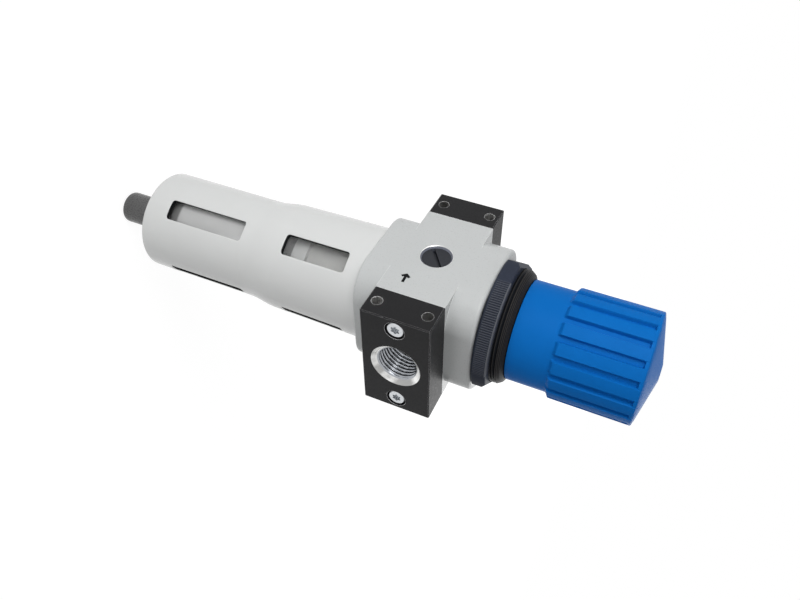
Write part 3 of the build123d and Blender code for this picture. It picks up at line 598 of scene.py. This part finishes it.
class REGULATOR_OT_ring_nut(bpy.types.Operator):
    """Ring nut with two wrench flats and a finely ribbed rim between them"""

    bl_idname = "regulator.ring_nut"
    bl_label = "Ring nut"

    def execute(self, context):
        s = sizes()
        (_, outer), _, (bottom, top) = node_mm("ring_nut")
        bore = COLLAR_R + 0.05
        around = angles(s.knurl_count * 8)
        # Outline with a chamfer at either end of the rim, and rows of points up the rim after its lower corner
        below, above, steps = 0.9, 0.4, 5
        foot = [(bore, bottom), (outer - below, bottom), (outer, bottom + below)]
        head = [(outer, top - above), (outer - above, top), (bore, top)]
        profile = rounded_profile(foot + head, 0.15, steps)
        rows = np.array([bottom + 1.15, bottom + 2.5, top - RING_FLAT_SLOPE, top - 1.0, top - 0.6])
        wall = np.stack([np.full_like(rows, outer), rows], -1)
        profile = np.vstack([profile[: 3 * steps], wall, profile[3 * steps :]])
        # Ribs: the rim sinks by depth * (1 - |cos(N a / 2)|^0.6) where a lies in the ribbed arcs
        arc = np.zeros_like(around)
        for start in RIB_STARTS:
            within = (np.degrees(around) - start) % 360.0
            arc = np.maximum(arc, np.clip(within, 0, 1) * np.clip(RIB_SPAN - within, 0, 1))
        groove = 1 - np.abs(np.cos(around * s.knurl_count / 2)) ** 0.6
        r, z = profile[:, :1], profile[:, 1:]
        on_rim = ((z > bottom + 1.1) & (z < top - 0.55) & (r > bore + 1)).astype(float)
        half = RING_FLATS / 2 - np.clip(z - (top - RING_FLAT_SLOPE), 0, None)
        reach = np.minimum(r - s.knurl_depth * on_rim * (groove * arc), flats(around, half, RING_ANGLE))
        reach = np.where(r < bore + 0.6, r, reach)
        mesh = surface("ring_nut_ribbed", polar(reach, around, z), wrap_u=True, wrap_v=True)
        # Light on the ribs' crests and along the rim's upper corner
        ribs = np.clip((np.abs(np.cos(around * s.knurl_count / 2)) - 0.6) / 0.25, 0, 1)
        corner = np.clip((z - (top - 0.5)) / 0.1, 0, 1) * (r > outer - 0.6)
        mark_crest_highlight(mesh, np.maximum(0.4 * on_rim * ribs, corner) * arc)
        place(mesh, "ring", "ring_metal", ("ring_nut",), sharp=32)
        return {"FINISHED"}


class REGULATOR_OT_bonnet(bpy.types.Operator):
    """Bonnet with the panel thread cut on its collar and the key slots in its bore"""

    bl_idname = "regulator.bonnet"
    bl_label = "Bonnet"

    def execute(self, context):
        s = sizes()
        bottom, neck_top = node_mm("bonnet")[2]
        collar_low, collar_top = node_mm("body")[2][1], node_mm("adjusting_knob")[2][0] - 0.3
        around = angles(360)
        bore, seat, foot, neck, screw = 17.0, 24.28, 18.4, 19.6, 5.05
        bore_top, slots_top, slots_foot = 60.0, 58.0, 30.0
        slot_reach, slot_half, thread_depth = 18.2, 2.6, 0.55
        thread_z = np.arange(collar_low + 0.3, collar_top - 2.9, s.thread_pitch / 10)
        thread = np.stack([np.full_like(thread_z, COLLAR_R), thread_z], -1)
        outer = np.array([(foot, bottom), (seat, bottom), (seat, collar_low), (COLLAR_R, collar_low)])
        # Tapered end: rows along its outline, sinking by 0.06 (1 - cos(turn d / spacing)) for the tool's fine lines
        bend = np.array(
            [(COLLAR_R, collar_top - 2.8), (COLLAR_R - 0.9, collar_top - 1.4)]
            + [(COLLAR_R - 1.1, collar_top - 1.1), (22.9, collar_top - 0.05)]
        )
        run = np.concatenate([[0], np.cumsum(np.linalg.norm(np.diff(bend, axis=0), axis=1))])
        along = np.linspace(0, run[-1], 46)
        line = 0.5 + 0.5 * np.cos(TURN * along / s.line_spacing)
        taper = np.stack([np.interp(along, run, bend[:, 0]) - 0.12 * (1 - line), np.interp(along, run, bend[:, 1])], -1)
        inside = np.array(
            [(22.7, collar_top), (neck + 0.2, collar_top), (neck, collar_top + 0.2), (neck, neck_top - 0.3)]
            + [(neck - 0.3, neck_top), (screw, neck_top), (screw, bore_top), (bore, bore_top)]
            + [(bore, slots_top + 0.01), (bore, slots_top), (bore, slots_foot), (bore, slots_foot - 0.01)]
            + [(bore, bottom + 6), (foot, bottom + 6)]
        )
        profile = np.vstack([outer, thread, taper, inside])
        r, z = profile[:, :1], profile[:, 1:]
        # Thread: the wall sinks by depth * valley^1.3
        rows = np.zeros((len(profile), 1))
        rows[len(outer) : len(outer) + len(thread)] = 1
        valley = thread_valley(z, around, s.thread_pitch)
        reach = r - thread_depth * rows * valley**1.3
        # Key slots: the bore widens to the slot's outline, min(reach / |cos a|, half width / |sin a|)
        cos_a, sin_a = (np.maximum(np.abs(part), 1e-3) for part in (np.cos(around), np.sin(around)))
        keyed = (r == bore) & (z >= slots_foot) & (z <= slots_top)
        reach = np.where(keyed, np.maximum(reach, np.minimum(slot_reach / cos_a, slot_half / sin_a)), reach)
        mesh = surface("bonnet_threaded", polar(reach, around, z), wrap_u=True, wrap_v=True)
        lines = np.concatenate([np.zeros(len(outer) + len(thread)), line**2, np.zeros(len(inside))])
        # Painted highlight on the thread's crests and on the crests of the tool lines
        mark_crest_highlight(mesh, np.maximum(rows * np.clip(1 - 2.4 * valley, 0, 1), lines[:, None]))
        place(mesh, "housing", "black_metal", ("bonnet",), sharp=40)
        return {"FINISHED"}


class REGULATOR_OT_port_threads(bpy.types.Operator):
    """Pipe threads in both ports"""

    bl_idname = "regulator.port_threads"
    bl_label = "Port threads"

    def execute(self, context):
        s = sizes()
        around = angles(240)
        near, clear, over = 27.75, 0.1, 0.06
        # The sleeve lines the bore, then the lead-in cone, a little clear of the solid, and its back lies within it
        deep = np.arange(near, PORT_THREAD_END, s.port_pitch / 12)
        wall = np.stack([PORT_R - clear + np.clip(deep - PORT_LEAD_START, 0, None), deep], -1)
        tail = (PORT_R + PORT_THREAD_END - PORT_LEAD_START + 0.08, PORT_THREAD_END + 0.02)
        profile = np.vstack([wall, [tail, (PORT_R + over, PORT_LEAD_START - 0.1), (PORT_R + over, near - 0.05)]])
        r, z = profile[:, :1], profile[:, 1:]
        rows = np.arange(len(z))[:, None] < len(deep)
        ends = np.clip((z - near) / 0.4, 0, 1) * np.clip((PORT_THREAD_END - z) / 1.1, 0, 1)
        # Ridge: the wall rises by height * min(1, 1.9 (1 - valley)) towards the axis
        valley = thread_valley(z, around, s.port_pitch)
        reach = r - s.port_ridge * (rows * ends) * np.minimum(1.0, 1.9 * (1 - valley))
        # Turned onto the port's axis: (z, r cos a, r sin a), and half a turn round for the outlet
        grid = polar(reach, around, z)[..., [2, 0, 1]]
        for name, side in (("inlet", 1), ("outlet", -1)):
            mesh = surface(f"{name}_port_thread", grid * (side, 1, side), wrap_u=True, wrap_v=True)
            place(mesh, "housing", "cut_thread", sharp=50)
        return {"FINISHED"}


class REGULATOR_OT_knob(bpy.types.Operator):
    """Adjusting knob with its ribbed grip, bevelled rib ends and shallow cone on top"""

    bl_idname = "regulator.knob"
    bl_label = "Adjusting knob"

    def execute(self, context):
        s = sizes()
        (_, grip), _, (bottom, top) = node_mm("adjusting_knob")
        skirt, bore, rim_depth = SKIRT_R, 20.4, 0.15
        # End face: flat within the tip, a cone from it to the lip, and a bevel outside
        tip, lip, lip_z = 3.6, 23.86, 96.8
        first = math.radians(1.0)
        # Half widths of a rib at its crest and at its foot, in radians
        crest = s.rib_width / 2 / grip
        foot = (s.rib_width / 2 + 0.35) / skirt
        period = TURN / s.rib_count
        half = np.array([0, 0.5, 0.85, 1.0]) * crest
        flank = crest + (foot - crest) * np.array([0.2, 0.4, 0.6, 0.8, 1.0])
        valley = foot + (period / 2 - foot) * np.array([0.15, 0.55])
        side = np.concatenate([half[1:], flank, valley])
        one = np.concatenate([-side[::-1], [0], side, [period / 2]])
        around = (np.arange(s.rib_count)[:, None] * period + one[None, :]).ravel() + first
        inside = np.abs((around - first + period / 2) % period - period / 2)
        form = np.clip((foot - inside) / (foot - crest), 0, 1)
        form = form * form * (3 - 2 * form)

        def top_of(r):
            """Height of the end face at radius r."""
            cone = top - 0.1 - np.clip(r - tip, 0, None) * (top - 0.1 - lip_z) / (lip - tip)
            return np.where(r > lip, lip_z - (r - lip) * 0.65, cone)

        ramp = np.array([59.3, 59.45, 59.9, 60.4, 60.8, 61.0, 61.4])
        lift = np.array([0.0, 0.04, 0.33, 0.68, 0.94, 0.99, 1.0])
        z_side = np.concatenate([[bottom, bottom + 0.12, bottom + 0.4, 44.0, 52.0, 58.0], ramp, [75.0, 88.0]])
        base = skirt - np.concatenate([[0.4, 0.12], np.zeros(len(z_side) - 2)])
        height = np.concatenate([np.zeros(6), lift, [1.0, 1.0]]) * (grip - skirt)
        reach = base[:, None] + height[:, None] * form[None, :]
        # The grooves between the ribs end in a low rim: they rise from the skirt to it over half a millimetre
        foot_of_rim = skirt + (grip - skirt) * form
        rim = np.maximum(grip - rim_depth, foot_of_rim)
        edge_r = np.stack([foot_of_rim, 0.5 * (foot_of_rim + rim), rim, rim, rim - 0.06, rim - 0.2, rim - 0.45])
        drop = np.array([1.75, 1.5, 1.3, 0.3, 0.09, 0.0, 0.0])
        edge_z = np.stack([top_of(row) - below for row, below in zip(edge_r, drop)])
        edge_z[:3] = edge_z[3] + 0.3 - drop[:3, None]
        shrink = np.array([0.9, 0.75, 0.55, 0.35, 0.2, 0.15, 0.11, 0.05])[:, None]
        cap_r = np.vstack([edge_r, shrink * (rim - 0.45)[None, :]])
        cap_z = np.vstack([edge_z, top_of(cap_r[len(edge_r) :])])
        inner_r = np.array([9.2, 9.5, 9.5, bore, bore, bore + 0.15])
        inner_z = np.array([67.5, 67.8, 92.0, 92.0, bottom + 0.15, bottom])
        all_r = np.vstack([inner_r[:, None] + 0 * around, reach, cap_r])
        all_z = np.vstack([np.concatenate([inner_z, z_side])[:, None] + 0 * around, cap_z])
        mesh = surface("knob_ribbed", polar(all_r, around, all_z), wrap_v=True, poles=(True, True))
        place(mesh, "knob", "knob", ("adjusting_knob",), sharp=38)
        return {"FINISHED"}


def window_patch(centre, low, high, width, corner, edge, outer, inner, columns, rows, reach_low, reach_high):
    """Grid round one window of the guard: from the patch border on the outer wall, in to the window, through the
    wall and back out on the inner wall. The window outline is the nearest point q + c d of a rounded rectangle,
    where q is the border point held inside the core rectangle, d the direction to it and c the corner radius."""
    quarter = TURN / 8
    top = np.linspace(-quarter, quarter, columns + 1)
    rise = np.linspace(reach_low, reach_high, rows + 1)
    border_a = np.concatenate([top[:-1], np.full(rows, quarter), top[:0:-1], np.full(rows, -quarter)])
    border_z = np.concatenate([np.full(columns, reach_low), rise[:-1], np.full(columns, reach_high), rise[:0:-1]])
    middle = (low + high) / 2
    border = np.stack([border_a * outer(middle), border_z - middle], -1)
    core = np.array([width / 2 - corner, (high - low) / 2 - corner])
    held = np.clip(border, -core, core)
    away = border - held
    away /= np.linalg.norm(away, axis=1, keepdims=True)

    def ring(offset, radius_of):
        """Outline moved outward by offset, on a wall: angle asin(y / r) and height."""
        spot = held + (corner + offset) * away
        z = spot[:, 1] + middle
        r = radius_of(z)
        return np.arcsin(spot[:, 0] / r), z, r

    def spread(share, offset, radius_of):
        """Between the outline at share 0 and the border at share 1."""
        a, z, _ = ring(offset, radius_of)
        a = a + share * (border_a - a)
        z = z + share * (border_z - z)
        return a, z, radius_of(z)

    wall = [spread(share, edge, outer) for share in (1.0, 0.75, 0.5, 0.3, 0.14, 0.05)]
    wall.append(ring(edge, outer))
    for turn in (0.33, 0.67):
        a, z, r = ring(edge * (1 - math.sin(turn * math.pi / 2)), outer)
        wall.append((a, z, r - edge * (1 - math.cos(turn * math.pi / 2))))
    a, z, r = ring(0.0, outer)
    for deeper in (r - edge, inner(z)):
        wall.append((np.arcsin(np.sin(a) * r / deeper), z, deeper))
    wall += [spread(share, 0.0, inner) for share in (0.3, 1.0)]
    a, z, r = (np.stack(part) for part in zip(*wall))
    return polar(r, a + centre, z)


class REGULATOR_OT_guard(bpy.types.Operator):
    """Bowl guard with eight rounded windows in a thin shaped wall"""

    bl_idname = "regulator.guard"
    bl_label = "Bowl guard"

    def execute(self, context):
        s = sizes()
        floor, top = node_mm("bowl_guard")[2]
        rim = node_mm("body")[2][0] - 0.3
        centre = math.radians(33.0)
        columns, corner = 32, 1.4
        slim, wide = 21.7, 22.9
        z_outer = np.array([floor, -87.0, -77.0, rim])
        r_outer = np.array([24.0, 24.0, 25.7, 26.5])
        z_inner = np.array([floor, -87.5, -77.5, top])
        r_inner = np.array([slim, slim, wide, wide])
        fade = 2.2
        # Both levels of windows: foot and top of a window, rows of its patch, and foot and top of the patch
        patch_top, patch_foot, upper_foot, lower_top = -32.5, -138.0, -73.0, -90.0
        levels = ((-69.0, -36.8, 14, upper_foot, patch_top), (-133.8, -92.0, 18, patch_foot, lower_top))

        def outer(z):
            """Outer wall: straight lines between the shoulder heights, eased over a short length at each."""
            return sum(np.interp(z + d, z_outer, r_outer) for d in (-fade, -fade / 2, 0, fade / 2, fade)) / 5

        def inner(z):
            return np.interp(z, z_inner, r_inner)

        around = centre - TURN / 8 + np.arange(4 * columns) * TURN / (4 * columns)
        patches = []
        for quarter in range(4):
            turned = centre + quarter * TURN / 4
            for low, high, *patch in levels:
                grid = window_patch(turned, low, high, s.window_width, corner, s.edge, outer, inner, columns, *patch)
                patches.append(surface("patch", grid, wrap_v=True))

        def band(*parts):
            """Adds the wall of a profile given in parts."""
            patches.append(surface("band", lathe(np.vstack(parts), around), wrap_v=True))

        up = np.array([patch_top, -30.5, -29.2])
        seat = [(26.5, rim - 0.5), (26.42, rim - 0.15), (26.1, rim), (24.65, rim), (24.65, top)]
        band(np.stack([outer(up), up], -1), seat, [(wide, top), (wide, patch_top)])
        mid = np.linspace(upper_foot, lower_top, 12)
        band(np.stack([outer(mid), mid], -1))
        band([(wide, upper_foot), (wide, -77.5), (slim, -87.5), (slim, lower_top)])
        turn = np.linspace(0, math.pi / 2, 7)
        foot = np.stack([24.0 - 1.6 * (1 - np.cos(turn)), floor + 1.6 * (1 - np.sin(turn))], -1)
        hole = [(9.3, floor), (9.0, floor + 0.3), (9.0, floor + 2.4), (20.2, floor + 2.4), (slim, floor + 3.9)]
        band([(24.0, patch_foot)], foot, hole, [(slim, patch_foot)])
        mesh = joined("guard_windowed", patches)
        weld(mesh, 0.004)
        place(mesh, "guard", "paint", ("bowl_guard",), sharp=42)
        # A face whose middle lies deeper than the window's edge is cast inside where it is on the inner wall, and
        # elsewhere, on the window's cut walls, near-black as painted shade
        mesh.materials.append(finish_of("inside"))
        mesh.materials.append(finish_of("window_wall"))
        middle = np.empty(len(mesh.polygons) * 3)
        mesh.polygons.foreach_get("center", middle)
        middle = middle.reshape(-1, 3) / MM
        away, z = np.hypot(middle[:, 0], middle[:, 1]), middle[:, 2]
        hidden = (outer(z) - away > s.edge + 0.1) & (z > floor + 1.0) & (z < rim - 0.8)
        shaded_walls = hidden & (away - inner(z) > 0.1)
        mesh.polygons.foreach_set("material_index", hidden.astype(np.int32) + shaded_walls.astype(np.int32))
        return {"FINISHED"}


class REGULATOR_OT_bowl(bpy.types.Operator):
    """Clear bowl with its shoulder, domed floor and drain boss"""

    bl_idname = "regulator.bowl"
    bl_label = "Bowl"

    def execute(self, context):
        floor, rim, skirt, shoulder = -138.5, -13.7, -19.3, -21.6
        dome = np.linspace(0, math.pi / 2, 9)
        out_dome = np.stack([9.0 + 11.3 * np.cos(dome), floor - 2.6 + 12.6 * (1 - np.sin(dome))], -1)
        in_dome = np.stack([8.5 + 9.7 * np.sin(dome), floor + 10.0 * (1 - np.cos(dome))], -1)
        inside = [(19.4, -78.0), (19.4, -34.0), (20.0, -30.0), (20.0, rim - 0.2)]
        collar = [(20.2, rim), (21.0, rim), (21.2, rim - 0.2), (21.2, skirt), (24.2, skirt), (24.2, shoulder)]
        outside = [(22.4, shoulder), (22.4, -30.0), (21.5, -34.0), (21.5, -78.0), (20.3, -88.0)]
        boss = [(7.0, floor - 2.6), (7.0, -146.5), (4.6, -146.5), (4.6, floor)]
        outline = np.vstack([inside, collar, outside, out_dome, boss, in_dome, [(18.2, -88.0)]])
        mesh = surface("bowl_clear", lathe(outline, angles(128)), wrap_u=True, wrap_v=True)
        place(mesh, "bowl_unit", "clear", ("bowl",), sharp=30)
        return {"FINISHED"}


class REGULATOR_OT_springs(bpy.types.Operator):
    """Setting spring and valve spring as coils of round wire, cut flat at both ends"""

    bl_idname = "regulator.springs"
    bl_label = "Coil springs"

    def execute(self, context):
        for node, body, joint, radius, wire, turns, travel, held_at_top in SPRINGS:
            bottom, top = node_mm(node)[2]
            # Round wire along a helix: ((R + w cos s) cos a, (R + w cos s) sin a, z + w sin s), cut flat at both ends
            along = np.linspace(0, 1, int(turns * 64) + 1)[:, None]
            section = angles(20)[None, :]
            reach = radius + wire * np.cos(section)
            height = bottom + wire / 2 + (top - bottom - wire) * along + wire * np.sin(section)
            turned = TURN * turns * along
            grid = polar(reach, turned, np.clip(height, bottom, top))
            mesh = surface(f"{node}_coil", grid, wrap_v=True, poles=(True, True))
            coil = place(mesh, body, "spring", (node,), sharp=50)
            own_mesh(coil)
        return {"FINISHED"}


class REGULATOR_OT_drain_knob(bpy.types.Operator):
    """Drain knob with its rounded end"""

    bl_idname = "regulator.drain_knob"
    bl_label = "Drain knob"

    def execute(self, context):
        (_, outer), _, (bottom, top) = node_mm("drain_knob")
        turn = np.linspace(0, math.pi / 2, 8)
        end = np.stack([outer - 1.6 * (1 - np.cos(turn)), bottom + 1.6 * (1 - np.sin(turn))], -1)
        stem, hole, hole_top, line = 4.63, 1.8, -168.3, outer - 0.12
        side = [(stem, top), (outer - 0.4, top), (line, top - 0.12), (outer, top - 0.4), (outer, bottom + 4.2)]
        groove = [(line, bottom + 4.1), (line, bottom + 3.7), (outer, bottom + 3.6)]
        outlet = [(hole + 0.3, bottom), (hole, bottom + 0.3), (hole, hole_top), (stem, hole_top)]
        outline = np.vstack([side, groove, end, outlet])
        mesh = surface("drain_knob_turned", lathe(outline, angles(96)), wrap_u=True, wrap_v=True)
        place(mesh, "drain", "drain", ("drain_knob",), sharp=35)
        return {"FINISHED"}


class REGULATOR_OT_flow_arrow(bpy.types.Operator):
    """Flow arrow printed on the front face, pointing from the inlet to the outlet"""

    bl_idname = "regulator.flow_arrow"
    bl_label = "Flow arrow"

    def execute(self, context):
        half = sizes().arrow_stroke / 2
        front = node_mm("body")[1][0]
        tail, tip = np.array([20.7, -6.6]), np.array([15.9, -6.8])
        barbs = np.array([17.3, -8.5]), np.array([17.3, -5.0])
        along = (tail - tip) / np.linalg.norm(tail - tip)
        across = np.array([-along[1], along[0]])

        def crossing(p, d, q, e):
            """Point where the line through p along d meets the line through q along e."""
            return p + d * np.cross(q - p, e) / np.cross(d, e)

        # Each stroke is a band of half width h along its line. Bands meet where their edge lines cross.
        halves = []
        for side, end in zip((-1, 1), barbs):
            run = (end - tip) / np.linalg.norm(end - tip)
            out = side * np.array([-run[1], run[0]])
            outer, inner = tip + half * out, tip - half * out
            edge = tip + side * half * across
            bend, corner = crossing(edge, along, inner, run), crossing(outer, run, tip - half * along, across)
            halves.append([tail + side * half * across, bend, end - half * out, end + half * out, corner])
        outline = np.array(halves[0] + halves[1][::-1])
        count = len(outline)
        flat = [np.stack([outline[:, 0], np.full(count, front + d), outline[:, 1]], -1) for d in (0.04, -0.015)]
        ring = np.arange(count)
        sides = np.stack([ring, (ring + 1) % count, (ring + 1) % count + count, ring + count], -1).tolist()
        mesh = bpy.data.meshes.new("flow_arrow")
        caps = [ring[::-1].tolist(), (ring + count).tolist()]
        mesh.from_pydata((np.vstack(flat) * MM).tolist(), [], sides + caps)
        turn_outward(mesh)
        place(mesh, "housing", "ink", sharp=30)
        return {"FINISHED"}


# ---------------------------------------------------------------- stage


def seen(tree):
    """1 for a ray from the camera and for one that metal or glass sends on, 0 for one that lights a surface."""
    rays = tree.nodes.new("ShaderNodeLightPath").outputs
    sent_on = arithmetic(tree, "MAXIMUM", rays["Is Glossy Ray"], rays["Is Transmission Ray"])
    return arithmetic(tree, "MAXIMUM", rays["Is Camera Ray"], sent_on)


LAMP_AIM = (0, 0, -0.03)
# Lamps: name, place and diameter in metres, power in watts
LAMPS = (
    ("key", (0.2, -0.91, 0.3), 0.7, 6.2),
    ("fill", (0.75, -0.55, 0.1), 0.6, 0.3),
    ("back", (-0.35, 0.85, 0.3), 0.8, 2.2),
)


class REGULATOR_OT_stage(bpy.types.Operator):
    """Floor, lamps, surroundings and camera"""

    bl_idname = "regulator.stage"
    bl_label = "Stage"

    def execute(self, context):
        scene = context.scene
        world = bpy.data.worlds.new("studio")
        scene.world = world
        tree = empty_tree(world)
        white = (1.0, 1.0, 1.0, 1.0)
        soft = made(tree, "ShaderNodeBackground", {"Color": white, "Strength": 0.32})
        shown = made(tree, "ShaderNodeBackground", {"Color": white, "Strength": 1.0})
        mix = made(tree, "ShaderNodeMixShader", {0: seen(tree), 1: soft, 2: shown})
        end_tree(tree, "ShaderNodeOutputWorld", mix)

        # Floor: a grid of eight by eight squares, half a millimetre under the part
        floor = bpy.data.meshes.new("floor")
        u = np.linspace(-4, 4, 9)
        level = np.full((9, 9), CAD_BOX[0][2] - 0.0005)
        grid = np.stack([*np.meshgrid(u, u, indexing="ij"), level], axis=-1)
        floor.from_pydata(grid.reshape(-1, 3).tolist(), [], grid_faces(9, 9))
        ground = bpy.data.objects.new("floor", floor)
        scene.collection.objects.link(ground)
        material = bpy.data.materials.new("floor_paper")
        tree = empty_tree(material)
        # White paper that shows a shadow near the part and none far off
        share = remap(tree, distance(tree, "Z"), 0.75, 1.0, 0.35, 1.1)
        paper = made(tree, "ShaderNodeBsdfDiffuse", {"Color": (0.9, 0.9, 0.9, 1.0)})
        lit = made(tree, "ShaderNodeEmission", {"Strength": 1.18})
        factor = arithmetic(tree, "MULTIPLY", share, seen(tree))
        mix = made(tree, "ShaderNodeMixShader", {0: factor, 1: paper, 2: lit})
        end_tree(tree, "ShaderNodeOutputMaterial", mix)
        floor.materials.append(material)

        for name, spot, size, power in LAMPS:
            light = bpy.data.lights.new(name, "AREA")
            light.shape = "DISK"
            light.size = size
            light.energy = power
            lamp = bpy.data.objects.new(name, light)
            scene.collection.objects.link(lamp)
            aim = Vector(LAMP_AIM) - Vector(spot)
            lamp.matrix_world = Matrix.Translation(spot) @ aim.to_track_quat("-Z", "Y").to_matrix().to_4x4()

        # Camera: its right, down and forward directions, its place in metres, and its focal length and the width of
        # its picture in pixels
        right = (-0.42525080, 0.01169771, 0.90499996)
        down = (0.63548464, 0.71584407, 0.28935539)
        forward = (-0.64445405, 0.69816219, -0.31184698)
        spot = (0.23320708, -0.24667628, 0.09502484)
        focal, picture_width = 773.6325727, 800.0
        lens = bpy.data.cameras.new("camera")
        lens.sensor_width = 36.0
        lens.lens = focal / picture_width * lens.sensor_width
        lens.clip_start = 0.01
        lens.clip_end = 20.0
        camera = bpy.data.objects.new("camera", lens)
        scene.collection.objects.link(camera)
        rows = [[r, -d, -f, p] for r, d, f, p in zip(right, down, forward, spot)]
        camera.matrix_world = Matrix(rows + [[0, 0, 0, 1]])
        scene.camera = camera
        scene.view_settings.view_transform = "Standard"
        return {"FINISHED"}


# ---------------------------------------------------------------- add-on

OPERATORS = (
    REGULATOR_OT_finishes,
    REGULATOR_OT_ring_nut,
    REGULATOR_OT_bonnet,
    REGULATOR_OT_port_threads,
    REGULATOR_OT_knob,
    REGULATOR_OT_guard,
    REGULATOR_OT_bowl,
    REGULATOR_OT_springs,
    REGULATOR_OT_drain_knob,
    REGULATOR_OT_flow_arrow,
    REGULATOR_OT_stage,
)


class REGULATOR_PT_panel(bpy.types.Panel):
    """Pieces and settings of the regulator"""

    bl_idname = "REGULATOR_PT_panel"
    bl_label = "Filter Regulator"
    bl_space_type = "VIEW_3D"
    bl_region_type = "UI"
    bl_category = "Regulator"

    def draw(self, context):
        layout = self.layout
        for group in (context.scene.regulator_sizes, context.scene.regulator_colours):
            column = layout.column()
            for name in group.__annotations__:
                column.prop(group, name)
        for operator in OPERATORS:
            layout.operator(operator.bl_idname)


CLASSES = (RegulatorSizes, RegulatorColours, *OPERATORS, REGULATOR_PT_panel)


def register():
    for cls in CLASSES:
        bpy.utils.register_class(cls)
    bpy.types.Scene.regulator_sizes = bpy.props.PointerProperty(type=RegulatorSizes)
    bpy.types.Scene.regulator_colours = bpy.props.PointerProperty(type=RegulatorColours)


def unregister():
    del bpy.types.Scene.regulator_sizes
    del bpy.types.Scene.regulator_colours
    for cls in reversed(CLASSES):
        bpy.utils.unregister_class(cls)


def main():
    """Registers the add-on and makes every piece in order."""
    register()
    bpy.ops.regulator.finishes()
    bpy.ops.regulator.ring_nut()
    bpy.ops.regulator.bonnet()
    bpy.ops.regulator.port_threads()
    bpy.ops.regulator.knob()
    bpy.ops.regulator.guard()
    bpy.ops.regulator.bowl()
    bpy.ops.regulator.springs()
    bpy.ops.regulator.drain_knob()
    bpy.ops.regulator.flow_arrow()
    bpy.ops.regulator.stage()


if __name__ == "__main__":
    main()
